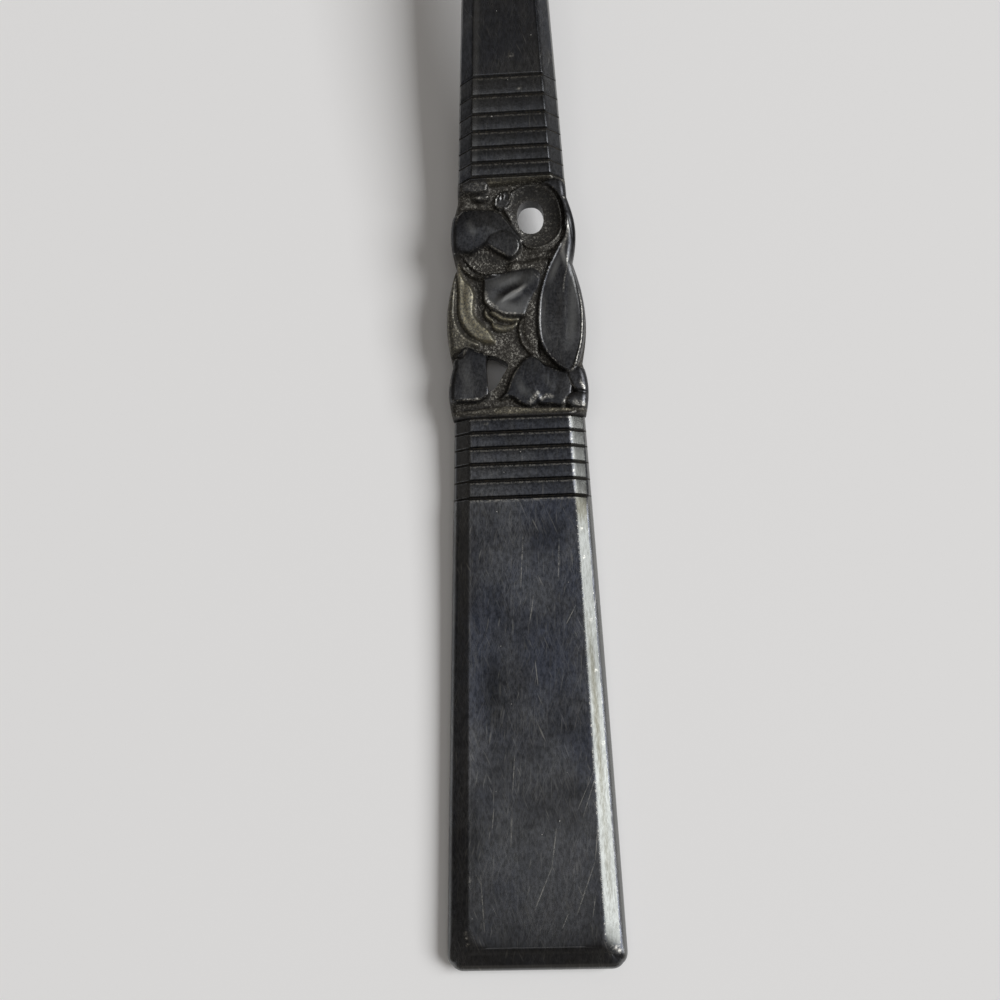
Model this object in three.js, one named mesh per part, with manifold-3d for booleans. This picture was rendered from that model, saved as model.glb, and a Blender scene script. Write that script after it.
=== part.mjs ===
// A jam spoon struck from one blank of metal, divided at its own grooves and shoulders into named pieces.
// Lengths are in millimetres. "along" is measured from the end of the handle (0) to the tip of the bowl.
// +Y runs the same way, +X points to the right of the spoon and +Z up. It lies face up, as on a table.
import * as THREE from 'three';
import { mergeVertices, toCreasedNormals } from 'three/addons/utils/BufferGeometryUtils.js';
import Module from 'manifold-3d';

const wasm = await Module();
wasm.setup();

const { clamp, degToRad, lerp, smoothstep } = THREE.MathUtils;

// Lengths along the spoon, one after the other.
const terminalLength = 42;
const lowerReeds = { count: 5, firstPitch: 1.43, growth: 0.045 };
const panelLength = 23;
const upperReeds = { count: 6, firstPitch: 1.36, growth: 0.1 };
const stemLength = 22;
const neckLength = 7;
const bowlLength = 46;

// Widths seen from above.
const terminalWidth = 16;
const neckWidth = 6.25;
const sideBow = 0.36;
const cornerRadius = 1.05;
const bowlWidth = 30;
const bowlWidestAt = 19.5;

// Side view: the terminal lies flat, the handle climbs to a crest where the bowl begins, slowly at first,
// and falls to the bowl's rim.
const restLength = 8;
const crestHeight = 9;
const climbPower = 1.8;
const bowlDepth = 5.8;
const bowlDeepestAt = 20;
const tipLift = 0.6;

// Thickness of the metal.
const terminalThickness = 2.4;
const neckThickness = 3;
const bowlWall = 1.3;
const heelLength = 9;

// Cross-section of the handle: a flat top, a bevel on each side and rounded edges.
const terminalBevel = 1.5;
const neckBevel = 0.88;
const bevelSlope = 0.5;
const upperEdgeRadius = 1.2;
const upperEdgeStart = degToRad(40);
const lowerEdgeWidth = 0.8;
const bowlRimRound = 0.3;

// Grooves between the reeds.
const grooveDepth = 0.3;
const grooveHalfWidth = 0.2;
const reedCrown = 0.07;

// Carved panel: lobed sides, a sunk ground and two piercings. Its forms are drawn on a panel of the drawing's
// length and mean width, as [x, distance from the lower end], and stretched with the real one.
const drawing = { length: 21.5, width: 10.9 };
const lobes = [
  { at: 2.5, reach: 2.9, out: 0.55 },
  { at: 8.9, reach: 4.8, out: 0.86 },
  { at: 16.6, reach: 3, out: 0.57 },
];
const groundDepth = 0.85;
const panelEdgeRound = 0.75;
const panelEndFade = 0.3;
const carvingSlope = 0.45;
const domeReach = 1.8;
const rimCore = 0.3;
const rimFoot = 1.4;
const roundPiercing = { centre: [1.64, 17.95], halfWidth: 1.27, halfLength: 1.6 };
const leafPiercing = [[-2.9, 5.7], [-2.2, 5.7], [-0.7, 4.9], [-1.4, 3.8], [-2.1, 2.7], [-2.8, 2.3]];

// Shares of the panel's thickness: where its side is widest, and the lowest that the carving may cut there.
const panelWidestShare = 0.35;
const panelLowestShare = 0.4;

// The bowl's outline seen from above, as three curves from the neck to the tip. Each place is a share of half
// the bowl's width and a share of the way to the widest place, or for the tip's curve of the way on from there.
const flareShares = [[0.41, 0.13], [0.61, 0.27]];
const flareStartShare = 0.16;
const shoulderShares = [[0.82, 0.42], [1, 0.67], [1, 1]];
const tipShares = [[1, 0.42], [0.38, 0.94], [0, 1]];

// How finely the pieces are faceted.
const edgeSteps = 3;
const cornerAngles = [90, 60, 30].map(degToRad);
const terminalStep = 3.5;
const stemStep = 3;
const neckStep = 2;
const panelStep = 0.3;
const panelColumns = 44;
const panelColumnSpread = degToRad(60);
const bowlColumns = 9;
const bowlStations = 36;
const curveSteps = 4;
const piercingSegments = 20;

const lowerOffsets = grooveOffsets(lowerReeds);
const upperOffsets = grooveOffsets(upperReeds);
const lowerReedsAt = terminalLength;
const panelAt = lowerReedsAt + lowerOffsets.at(-1);
const upperReedsAt = panelAt + panelLength;
const stemAt = upperReedsAt + upperOffsets.at(-1);
const neckAt = stemAt + stemLength;
const bowlAt = neckAt + neckLength;
const overallLength = bowlAt + bowlLength;
const deepestAt = bowlAt + bowlDeepestAt;
const rimHeight = bowlDepth + bowlWall;

const lowerGrooves = lowerOffsets.map((offset) => panelAt - offset).toReversed();
const upperGrooves = upperOffsets.map((offset) => upperReedsAt + offset);

// Distances of a band's grooves from the panel, the one on the panel's own edge first. The reeds between
// them grow wider away from the panel, each by the same amount.
function grooveOffsets(band) {
  const offsets = [0];
  for (let i = 0; i < band.count; i++) {
    offsets.push(offsets[i] + band.firstPitch + i * band.growth);
  }
  return offsets;
}

const stretchAcross = 2 * halfWidth(panelAt + panelLength / 2) / drawing.width;
const stretchAlong = panelLength / drawing.length;

function ease(u) {
  return (1 - Math.cos(Math.PI * clamp(u, 0, 1))) / 2;
}

// Height of the top of the metal in side view, which becomes the rim along the bowl.
function topLine(along) {
  const climbed = ease((along - restLength) / (bowlAt - restLength)) ** climbPower;
  const climb = (crestHeight - terminalThickness) * climbed;
  const fall = (crestHeight - rimHeight) * ease((along - bowlAt) / (deepestAt - bowlAt));
  const lift = tipLift * Math.max(0, (along - deepestAt) / (overallLength - deepestAt)) ** 2;
  return terminalThickness + climb - fall + lift;
}

function thickness(along) {
  return lerp(terminalThickness, neckThickness, ease((along - stemAt) / (bowlAt - stemAt)));
}

// Half the width of the handle, tapering from the terminal to the neck with slightly bowed sides.
function halfWidth(along) {
  const u = clamp(along / bowlAt, 0, 1);
  return lerp(terminalWidth, neckWidth, u) / 2 + sideBow * 4 * u * (1 - u);
}

// The bevel keeps its width over the flat end, so that it turns the corners evenly, and then narrows.
function bevelWidth(along) {
  const u = clamp((along - restLength) / (bowlAt - restLength), 0, 1);
  return lerp(neckBevel, terminalBevel, (1 - u) ** 2);
}

// How deep the cross grooves cut at one place, with the slight crown of the reeds between them.
function grooveCut(along) {
  const distances = [...lowerGrooves, ...upperGrooves].map((groove) => Math.abs(along - groove));
  const nearest = Math.min(...distances);
  const cut = grooveDepth * Math.max(0, 1 - nearest / grooveHalfWidth);
  const inLower = along > lowerReedsAt && along < panelAt;
  const inUpper = along > upperReedsAt && along < stemAt;
  const crown = reedCrown * (1 - smoothstep(nearest, 0, lowerReeds.firstPitch / 2));
  return cut + (inLower || inUpper ? crown : 0);
}

// Levels of half a handle section, from the ridge of the bevel down to the underside:
// how far each lies inside the edge, and its height.
function sectionLevels(along) {
  const edge = upperEdgeRadius * (1 - Math.sin(upperEdgeStart));
  const bevel = bevelWidth(along);
  const bevelDrop = bevel * bevelSlope;
  const top = topLine(along);
  const under = top - thickness(along);
  const cut = grooveCut(along);
  const levels = [
    { inset: edge + bevel, height: top - cut },
    { inset: edge, height: top - bevelDrop - cut },
  ];
  for (let i = 1; i <= edgeSteps; i++) {
    const angle = lerp(upperEdgeStart, Math.PI / 2, i / edgeSteps);
    const roundDrop = upperEdgeRadius * (Math.cos(upperEdgeStart) - Math.cos(angle));
    const cutHere = cut * (1 - i / edgeSteps);
    levels.push({
      inset: upperEdgeRadius * (1 - Math.sin(angle)),
      height: top - bevelDrop - roundDrop - cutHere,
    });
  }
  const widest = levels[levels.length - 1].height;
  return [...levels, ...lowerEdge(widest, under)];
}

// The rounded lower edge, from just under the widest level to the underside.
function lowerEdge(widest, under) {
  const levels = [];
  for (let i = 1; i <= edgeSteps; i++) {
    const angle = (i / edgeSteps) * Math.PI / 2;
    levels.push({
      inset: lowerEdgeWidth * (1 - Math.cos(angle)),
      height: lerp(widest, under, Math.sin(angle)),
    });
  }
  return levels;
}

// Where a level of a station lies in plan. A station across the side stays at its place along the spoon,
// but never nearer the end than the level's inset, so that the end's bevel meets the side's in a mitre.
function sidePlan(along) {
  return (inset) => {
    const at = Math.max(along, inset);
    return [halfWidth(at) - inset, at];
  };
}

function cornerPlan(angle) {
  return (inset) => {
    const centre = Math.max(cornerRadius, inset);
    const radius = Math.max(cornerRadius - inset, 0);
    return [halfWidth(centre) - centre + radius * Math.cos(angle), centre - radius * Math.sin(angle)];
  };
}

// One ring of points round the metal at a station: down the right side, then up the left.
function handleRing(along, plan) {
  const right = sectionLevels(along).map(({ inset, height }) => {
    const [x, at] = plan(inset);
    return [x, at, height + topLine(at) - topLine(along)];
  });
  return [...right, ...mirrored(right)];
}

function mirrored(points) {
  return points.map(([x, at, z]) => [-x, at, z]).toReversed();
}

function placed([x, along, z]) {
  return [x, along - overallLength / 2, z];
}

// Skin over rings with as many points each; a ring may collapse to fewer places. The ends are closed by
// a fan about the middle of the metal, or across from side to side.
function loft(rings, firstEnd, lastEnd) {
  const count = rings[0].length;
  const positions = rings.flat().flatMap(placed);
  const faces = [];
  for (let i = 0; i + 1 < rings.length; i++) {
    for (let j = 0; j < count; j++) {
      const a = i * count + j;
      const b = i * count + (j + 1) % count;
      faces.push([a, b, b + count], [a, b + count, a + count]);
    }
  }
  const closeEnd = (ring, start, kind) => {
    if (kind === 'across') return acrossFaces(count, start);
    if (kind === 'none') return [];
    const heights = ring.map((point) => point[2]);
    const hub = positions.length / 3;
    positions.push(...placed([0, ring[0][1], (Math.min(...heights) + Math.max(...heights)) / 2]));
    return fanFaces(count, start, hub);
  };
  const lastStart = (rings.length - 1) * count;
  faces.push(...closeEnd(rings[0], 0, firstEnd));
  faces.push(...closeEnd(rings[rings.length - 1], lastStart, lastEnd).map((face) => face.toReversed()));
  const geometry = new THREE.BufferGeometry();
  geometry.setAttribute('position', new THREE.Float32BufferAttribute(positions, 3));
  geometry.setIndex(faces.flat());
  return tidied(geometry);
}

function fanFaces(count, start, hub) {
  const faces = [];
  for (let j = 0; j < count; j++) {
    faces.push([hub, start + (j + 1) % count, start + j]);
  }
  return faces;
}

function acrossFaces(count, start) {
  const faces = [];
  for (let j = 0; j < count / 2 - 1; j++) {
    const right = start + j;
    const left = start + count - 1 - j;
    faces.push([right, left, left - 1], [right, left - 1, right + 1]);
  }
  return faces;
}

// Shared places merged, and the faces that collapse with them left out.
function tidied(geometry) {
  const merged = mergeVertices(geometry, 1e-3);
  const index = Array.from(merged.index.array);
  const kept = [];
  for (let i = 0; i < index.length; i += 3) {
    const [a, b, c] = index.slice(i, i + 3);
    if (a !== b && b !== c && a !== c) kept.push(a, b, c);
  }
  merged.setIndex(kept);
  return merged;
}

function evenSteps(from, to, longest) {
  const count = Math.max(1, Math.ceil((to - from) / longest));
  return [...Array(count + 1).keys()].map((i) => lerp(from, to, i / count));
}

function terminalGeometry() {
  const ridgeInset = sectionLevels(0)[0].inset;
  const sides = [
    cornerRadius,
    ridgeInset,
    ...evenSteps(restLength, terminalLength - grooveHalfWidth, terminalStep),
    terminalLength,
  ];
  const rings = [
    ...cornerAngles.map((angle) => handleRing(0, cornerPlan(angle))),
    ...sides.map((along) => handleRing(along, sidePlan(along))),
  ];
  return loft(rings, 'across', 'fan');
}

// Stations of a reeded band: each groove with its two shoulders, and the crown of each reed.
function bandStations(grooves) {
  const reeds = grooves.slice(1).map((next, i) => {
    const groove = grooves[i];
    return [groove, groove + grooveHalfWidth, (groove + next) / 2, next - grooveHalfWidth];
  });
  return [...reeds.flat(), grooves.at(-1)];
}

function handleGeometry(stations) {
  return loft(stations.map((along) => handleRing(along, sidePlan(along))), 'fan', 'fan');
}

// Leaves, petals and the bud have a wall of lift at the outline and a swelling towards the middle.
const leaves = {
  bud: {
    lift: 0.5,
    swell: 0.4,
    points: [
      [-6.2, 17.8], [-4.5, 18.7], [-2.4, 18.6], [-0.6, 17.8], [0.7, 15.6],
      [-0.4, 14.2], [-2.6, 15.3], [-4, 14.7], [-6.2, 15],
    ],
  },
  budCurl: {
    lift: 0.82,
    swell: 0.15,
    points: [[-2.4, 15.7], [-1.4, 16.5], [0, 16.2], [0.5, 15.2], [-0.4, 14.2], [-1.9, 15]],
  },
  scroll: {
    lift: 0.56,
    swell: 0.24,
    points: [
      [2.8, 20.9], [4.8, 20.8], [6.2, 18.6], [6.6, 15.8], [5.5, 14.5], [5, 16.8], [4.6, 18.4], [3.8, 20.1],
    ],
  },
  petal: {
    lift: 0.6,
    swell: 0.16,
    points: [[-2.8, 12.5], [-2.9, 11.2], [-2.4, 9.9], [-0.8, 9], [0.7, 9], [1.5, 10.6], [2.2, 12.3], [0.2, 13]],
  },
  longLeaf: {
    lift: 0.66,
    swell: 0.24,
    points: [
      [5, 17.6], [4.1, 15], [2.6, 11.9], [1.9, 8.5], [2.4, 5.9], [4.4, 3.8], [5.5, 4.6], [6.2, 7.6], [6.1, 11],
      [5.6, 14.4],
    ],
  },
  ribbon: {
    lift: 0.44,
    swell: 0.18,
    points: [
      [-5.1, 14], [-5.3, 10.4], [-4.5, 7.7], [-3, 6.8], [-2, 6.8], [-3.4, 8.8], [-3.8, 10.3], [-4.5, 12.4],
    ],
  },
  edgeLeaf: {
    lift: 0.42,
    swell: 0.24,
    points: [[-6.5, 13.4], [-5.5, 12], [-5.4, 9], [-3.5, 6.6], [-5, 6.1], [-6.5, 6.4]],
  },
  frond: {
    lift: 0.45,
    swell: 0.05,
    points: [[1.4, 10.2], [0.4, 8.4], [0.5, 6.8], [1.8, 5.3], [1.6, 7.4]],
  },
  sideLeaf: {
    lift: 0.62,
    swell: 0.16,
    points: [[-4.75, 6.4], [-3, 5.5], [-2.9, 2], [-4.4, 1.4], [-6.5, 1.8], [-6.4, 4.2]],
  },
  fanLeaf: {
    lift: 0.58,
    swell: 0.2,
    points: [[1, 5.4], [-0.4, 4], [-1.6, 1.7], [0.2, 1.1], [1.6, 1.1], [2.6, 3], [2.2, 4.8]],
  },
  smallLeaf: {
    lift: 0.55,
    swell: 0.2,
    points: [[2.7, 3.9], [2.6, 2.4], [2.1, 1.4], [4, 0.9], [4.5, 2.4], [4.5, 3.6]],
  },
  upperLobe: {
    lift: 0.5,
    swell: 0.25,
    points: [[4.6, 3.7], [5, 2.4], [6.7, 2], [6.7, 3.8], [5.4, 4.3]],
  },
  lowerLobe: {
    lift: 0.5,
    swell: 0.28,
    points: [[4.4, 1.3], [5.2, 2.1], [6.7, 1.8], [6.6, 0.7], [5, 0.5]],
  },
  topLump: {
    lift: 0.42,
    swell: 0.2,
    points: [[-6, 20], [-5.8, 21.6], [-2.6, 21.4], [-2.2, 20.3], [-3.5, 20.1]],
  },
};

// Raised rims: lift above the ground along a line, and half the line's width.
const rims = {
  eye: {
    lift: 0.6,
    half: 0.42,
    points: [[-0.5, 18.2], [0, 20], [2, 20.8], [4.1, 19.6], [4.6, 17.4], [3.4, 15.1], [1.2, 15], [0.1, 16.8]],
    closed: true,
  },
  budRim: { lift: 0.4, half: 0.35, points: [[-5.2, 14.5], [-4, 13], [-2.5, 12.6], [-1, 13]] },
  fan: { lift: 0.45, half: 0.35, points: [[-1.4, 19], [-1.1, 19.9], [-0.4, 20]] },
  innerRib: { lift: 0.4, half: 0.2, points: [[-2.6, 9.5], [-1.3, 8.8], [0.2, 8.8]] },
  outerRib: { lift: 0.32, half: 0.22, points: [[-2.2, 8.5], [-0.9, 8.2], [0.1, 8.5]] },
  upperBorder: { lift: 0.5, half: 0.5, points: [[-5, 21.4], [0, 21.4], [5, 21.4]] },
  lowerBorder: { lift: 0.4, half: 0.35, points: [[-6.3, 0.5], [0, 0.6], [6.3, 0.4]] },
};
const leafVein = { depth: 0.2, half: 0.45, points: [[4.8, 15], [4.8, 12.8], [4.3, 10], [4.2, 6.4]] };

const leafShapes = Object.values(leaves).map((leaf) => ({ ...leaf, outline: curveThrough(leaf.points, true) }));
const rimShapes = Object.values(rims).map((rim) => ({ ...rim, line: curveThrough(rim.points, rim.closed) }));
const veinLine = curveThrough(leafVein.points, false);

function stretched([x, y]) {
  return new THREE.Vector3(x * stretchAcross, y * stretchAlong, 0);
}

function curveThrough(points, closed = false) {
  const curve = new THREE.CatmullRomCurve3(points.map(stretched), closed, 'catmullrom');
  return curve.getPoints(curveSteps * points.length);
}

function distanceToLine(line, x, y) {
  let nearest = Infinity;
  for (let i = 0; i + 1 < line.length; i++) {
    const dx = line[i + 1].x - line[i].x;
    const dy = line[i + 1].y - line[i].y;
    const u = clamp(((x - line[i].x) * dx + (y - line[i].y) * dy) / (dx * dx + dy * dy || 1), 0, 1);
    nearest = Math.min(nearest, Math.hypot(x - line[i].x - u * dx, y - line[i].y - u * dy));
  }
  return nearest;
}

function isInside(outline, x, y) {
  let inside = false;
  for (let i = 0, j = outline.length - 1; i < outline.length; j = i++) {
    const crosses = (outline[i].y > y) !== (outline[j].y > y);
    const slope = (outline[j].x - outline[i].x) / (outline[j].y - outline[i].y || 1);
    if (crosses && x < outline[i].x + slope * (y - outline[i].y)) inside = !inside;
  }
  return inside;
}

// Height of the carving above the sunk ground.
function carving(x, y) {
  let height = 0;
  for (const leaf of leafShapes) {
    const signed = (isInside(leaf.outline, x, y) ? 1 : -1) * distanceToLine(leaf.outline, x, y);
    const wall = leaf.lift * smoothstep(signed, -carvingSlope / 2, carvingSlope / 2);
    const dome = leaf.swell * smoothstep(signed, 0, domeReach);
    height = Math.max(height, wall + dome);
  }
  for (const rim of rimShapes) {
    const away = distanceToLine(rim.line, x, y) / rim.half;
    height = Math.max(height, rim.lift * (1 - smoothstep(away, rimCore, rimFoot)));
  }
  const nearVein = 1 - smoothstep(distanceToLine(veinLine, x, y), 0, leafVein.half);
  return height - leafVein.depth * nearVein;
}

function panelHalfWidth(along) {
  const y = along - panelAt;
  const swells = lobes.map(({ at, reach, out }) => {
    const away = Math.min(Math.abs(y / stretchAlong - at) / reach, 1);
    return out * Math.cos(away * Math.PI / 2);
  });
  return halfWidth(along) + Math.max(...swells);
}

// A ring of the carved panel: across the top from right to left, then round the underside.
function panelRing(along) {
  const half = panelHalfWidth(along);
  const top = topLine(along);
  const under = top - thickness(along);
  const lowest = lerp(under, top, panelLowestShare);
  const widest = lerp(under, top, panelWidestShare);
  const endFade = smoothstep(Math.min(along - panelAt, upperReedsAt - along), 0, panelEndFade);
  const ring = [];
  for (let j = 0; j <= panelColumns; j++) {
    const angle = lerp(panelColumnSpread, -panelColumnSpread, j / panelColumns);
    const x = half * Math.sin(angle) / Math.sin(panelColumnSpread);
    const nearEdge = clamp(1 - (half - Math.abs(x)) / panelEdgeRound, 0, 1);
    const roundOver = panelEdgeRound * (1 - Math.sqrt(1 - nearEdge ** 2));
    const carved = lerp(-grooveDepth, carving(x, along - panelAt) - groundDepth, endFade);
    ring.push([x, along, Math.max(top + carved - roundOver, lowest)]);
  }
  const lower = [{ inset: 0, height: widest }, ...lowerEdge(widest, under)];
  const right = lower.map(({ inset, height }) => [half - inset, along, height]);
  const leftSide = mirrored(right).toReversed();
  return [...ring, ...leftSide, ...right.toReversed()].toReversed();
}

function toManifold(geometry) {
  const bare = new THREE.BufferGeometry();
  bare.setAttribute('position', geometry.getAttribute('position'));
  bare.setIndex(geometry.index);
  const merged = tidied(bare);
  return new wasm.Manifold(new wasm.Mesh({
    numProp: 3,
    vertProperties: Float32Array.from(merged.getAttribute('position').array),
    triVerts: Uint32Array.from(merged.index.array),
  }));
}

function fromManifold(solid) {
  const mesh = solid.getMesh();
  const geometry = new THREE.BufferGeometry();
  geometry.setAttribute('position', new THREE.Float32BufferAttribute(mesh.vertProperties, 3));
  geometry.setIndex(Array.from(mesh.triVerts));
  return geometry;
}

// A piercing as an upright prism that passes through the panel.
function piercing(shape) {
  const settings = { depth: 3 * crestHeight, bevelEnabled: false, curveSegments: piercingSegments };
  const prism = new THREE.ExtrudeGeometry(shape, settings);
  prism.translate(0, panelAt - overallLength / 2, -crestHeight);
  return toManifold(prism);
}

function panelGeometry() {
  const stations = evenSteps(panelAt, upperReedsAt, panelStep);
  const blank = toManifold(loft(stations.map(panelRing), 'fan', 'fan'));
  const round = new THREE.Shape();
  const centre = stretched(roundPiercing.centre);
  round.absellipse(centre.x, centre.y, roundPiercing.halfWidth, roundPiercing.halfLength, 0, 2 * Math.PI);
  const leaf = new THREE.Shape(leafPiercing.map(stretched));
  return fromManifold(blank.subtract(piercing(round)).subtract(piercing(leaf)));
}

// Half the bowl's outline from the neck to the tip: it flares, swells to its widest and closes in a soft point.
function bowlOutline() {
  const half = bowlWidth / 2;
  const start = [
    new THREE.Vector2(neckWidth / 2, 0),
    new THREE.Vector2(neckWidth / 2, flareStartShare * bowlWidestAt),
  ];
  const toWidest = ([x, y]) => new THREE.Vector2(x * half, y * bowlWidestAt);
  const toTip = ([x, y]) => new THREE.Vector2(x * half, lerp(bowlWidestAt, bowlLength, y));
  const flare = flareShares.map(toWidest);
  const shoulder = shoulderShares.map(toWidest);
  const outline = new THREE.CurvePath();
  outline.add(new THREE.CubicBezierCurve(...start, ...flare));
  outline.add(new THREE.CubicBezierCurve(flare[1], ...shoulder));
  outline.add(new THREE.CubicBezierCurve(shoulder[2], ...tipShares.map(toTip)));
  return outline.getSpacedPoints(bowlStations);
}

// Hollow along the middle of the bowl: none at the neck, all of it at the deepest place, none at the tip.
function hollow(y) {
  if (y < bowlDeepestAt) return bowlDepth * ease(y / bowlDeepestAt);
  return bowlDepth * (1 - ((y - bowlDeepestAt) / (bowlLength - bowlDeepestAt)) ** 2);
}

// A ring of the bowl. Near the neck it has the handle's section, which turns into the dish within the heel.
function bowlRing({ x: half, y }) {
  const along = bowlAt + y;
  const top = topLine(along);
  const dish = ease(y / heelLength);
  const wall = lerp(neckThickness, bowlWall, dish);
  const rim = Math.min(bowlRimRound, half);
  const across = evenSteps(0, Math.PI / 2, Math.PI / 2 / bowlColumns).map(Math.sin);
  const [ridge, bevelFoot, , shoulder, widest, , , bottom] = sectionLevels(along);
  const handle = [
    ...across.map((share) => [share * Math.max(half - ridge.inset, 0), ridge.height]),
    ...[bevelFoot, shoulder, widest].map(({ inset, height }) => [Math.max(half - inset, 0), height]),
    ...across.toReversed().map((share) => [share * Math.max(half - bottom.inset, 0), top - wall]),
  ];
  const dished = (share) => top - hollow(y) * (1 - share ** 2);
  const bowl = [
    ...across.map((share) => [share * (half - rim), dished(share)]),
    [half, top - rim],
    [half, top - wall / 2],
    [half, top - wall + rim],
    ...across.toReversed().map((share) => [share * (half - rim), dished(share) - wall]),
  ];
  const right = bowl.map(([x, z], k) => [lerp(handle[k][0], x, dish), along, lerp(handle[k][1], z, dish)]);
  return [...right, ...mirrored(right)];
}

function bowlGeometry() {
  return loft(bowlOutline().map(bowlRing), 'fan', 'none');
}

const spoon = new THREE.Group();
const creaseAngle = degToRad(28);

function addPiece(name, geometry, colour, roughness) {
  const material = new THREE.MeshStandardMaterial({ color: colour, roughness, metalness: 0.9 });
  const mesh = new THREE.Mesh(toCreasedNormals(geometry, creaseAngle), material);
  mesh.name = name;
  spoon.add(mesh);
}

const stemStations = [stemAt, ...evenSteps(stemAt + grooveHalfWidth, neckAt, stemStep)];

addPiece('terminal', terminalGeometry(), 0x2c2e34, 0.32);
addPiece('lower_reeds', handleGeometry(bandStations(lowerGrooves)), 0x292b30, 0.36);
addPiece('carved_panel', panelGeometry(), 0x28261f, 0.45);
addPiece('upper_reeds', handleGeometry(bandStations(upperGrooves)), 0x292b30, 0.36);
addPiece('stem', handleGeometry(stemStations), 0x2c2e34, 0.32);
addPiece('neck', handleGeometry(evenSteps(neckAt, bowlAt, neckStep)), 0x2c2e34, 0.32);
addPiece('bowl', bowlGeometry(), 0x34363b, 0.3);

export default spoon;
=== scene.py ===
# A silver-plated jam spoon, nearly black with tarnish, lying face up on a pale table.
# Forms are worked out in millimetres: "along" runs from the handle's end (0) to the bowl's tip.
import math
import bmesh
import bpy
import numpy as np
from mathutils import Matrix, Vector


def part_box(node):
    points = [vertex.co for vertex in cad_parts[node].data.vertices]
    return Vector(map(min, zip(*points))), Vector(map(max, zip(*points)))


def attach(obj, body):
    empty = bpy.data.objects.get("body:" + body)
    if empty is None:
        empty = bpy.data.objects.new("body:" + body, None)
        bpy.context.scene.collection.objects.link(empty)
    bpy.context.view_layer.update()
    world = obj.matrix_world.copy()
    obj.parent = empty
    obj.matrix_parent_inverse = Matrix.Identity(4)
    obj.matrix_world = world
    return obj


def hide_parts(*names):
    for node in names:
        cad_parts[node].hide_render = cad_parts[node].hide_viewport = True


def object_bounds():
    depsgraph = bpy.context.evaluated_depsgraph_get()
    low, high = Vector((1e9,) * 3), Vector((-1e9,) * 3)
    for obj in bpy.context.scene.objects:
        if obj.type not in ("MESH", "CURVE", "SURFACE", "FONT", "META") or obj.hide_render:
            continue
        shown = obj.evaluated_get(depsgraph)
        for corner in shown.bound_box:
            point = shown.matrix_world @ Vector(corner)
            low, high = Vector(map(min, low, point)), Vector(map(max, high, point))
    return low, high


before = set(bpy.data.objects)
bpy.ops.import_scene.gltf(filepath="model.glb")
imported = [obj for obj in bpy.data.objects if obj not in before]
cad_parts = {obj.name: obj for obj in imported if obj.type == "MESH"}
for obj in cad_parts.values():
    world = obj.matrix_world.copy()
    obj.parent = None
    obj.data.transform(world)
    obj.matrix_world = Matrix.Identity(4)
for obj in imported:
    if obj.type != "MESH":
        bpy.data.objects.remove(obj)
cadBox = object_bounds()
mm = 0.001
print("frame loaded")


def span(node):
    # where a sub-part starts and ends along the spoon
    low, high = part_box(node)
    return (low.y - cadBox[0].y) / mm, (high.y - cadBox[0].y) / mm


lowerReedsAt, panelAt = span("lower_reeds")
upperReedsAt, stemAt = span("upper_reeds")
neckAt, bowlAt = span("neck")
overallLength = span("bowl")[1]

# Small shared sums


def lerp(a, b, share):
    return a + (b - a) * share


def smoothStep(value, low, high):
    share = np.clip((value - low) / (high - low), 0, 1)
    return share * share * (3 - 2 * share)


def ease(share):
    return (1 - np.cos(np.pi * np.clip(share, 0, 1))) / 2


def bell(away, half):
    return 1 - smoothStep(away, 0, half)


def steps(start, end, longest):
    return np.linspace(start, end, max(1, math.ceil((end - start) / longest)) + 1)


# Side view and plan of the whole spoon

profile = {
    "restLength": 8,
    "crestHeight": 9,
    "climbPower": 1.8,
    "bowlDepth": 5.8,
    "bowlDeepestAt": 20,
    "bowlWall": 1.3,
    "tipLift": 0.6,
    "endThickness": 2.4,
    "neckThickness": 3,
}


def topLine(along):
    deepestAt = bowlAt + profile["bowlDeepestAt"]
    rimHeight = profile["bowlDepth"] + profile["bowlWall"]
    restLength = profile["restLength"]
    climb = ease((along - restLength) / (bowlAt - restLength)) ** profile["climbPower"]
    fall = ease((along - bowlAt) / (deepestAt - bowlAt))
    lift = np.maximum(0, (along - deepestAt) / (overallLength - deepestAt)) ** 2
    return (
        profile["endThickness"]
        + (profile["crestHeight"] - profile["endThickness"]) * climb
        - (profile["crestHeight"] - rimHeight) * fall
        + profile["tipLift"] * lift
    )


def thickness(along):
    share = ease((along - stemAt) / (bowlAt - stemAt))
    return lerp(profile["endThickness"], profile["neckThickness"], share)


# The handle: a flat top, a bevel on each side and rounded edges

handle = {
    "endWidth": 16,
    "neckWidth": 6.25,
    "sideBow": 0.36,
    "cornerRadius": 1.45,
    "endRidge": 1.93,  # how far in from the edge the ridge runs
    "neckRidge": 1.31,
    "endSlope": 0.5,
    "reedSlope": 0.2,  # how much steeper the bevel is at the lower reeds
    "stemSlope": 0.3,  # and how much more on the stem
    "ridgeRound": 0.3,  # length of the soft turn on each side of the ridge
    "stemRidgeRound": 0.12,
    "upperEdgeReach": (1.65, 1.05),  # how far in the rounded edge starts, on the terminal and the reeds
    "upperEdgeRadius": (1.1, 0.72),
    "lowerEdgeWidth": 0.8,
    "columns": 26,  # points across the flat top and the underside
    "ridgePoints": 6,
    "bevelPoints": 6,
    "edgePoints": 10,
    "rim": (0.44, 0.26),  # how wide the side wall, with its painted reflection, shows from above, on the terminal and the stem
    "rimTurns": (-0.1, 0.02, 0.06, 0.2),  # where, round the rim, the wall and the bevel begin and are full
    "crispFade": 16,  # how far up the stem the upper edges turn round again
}


def halfWidth(along):
    share = np.clip(along / bowlAt, 0, 1)
    straight = lerp(handle["endWidth"], handle["neckWidth"], share) / 2
    return straight + handle["sideBow"] * 4 * share * (1 - share)


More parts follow.
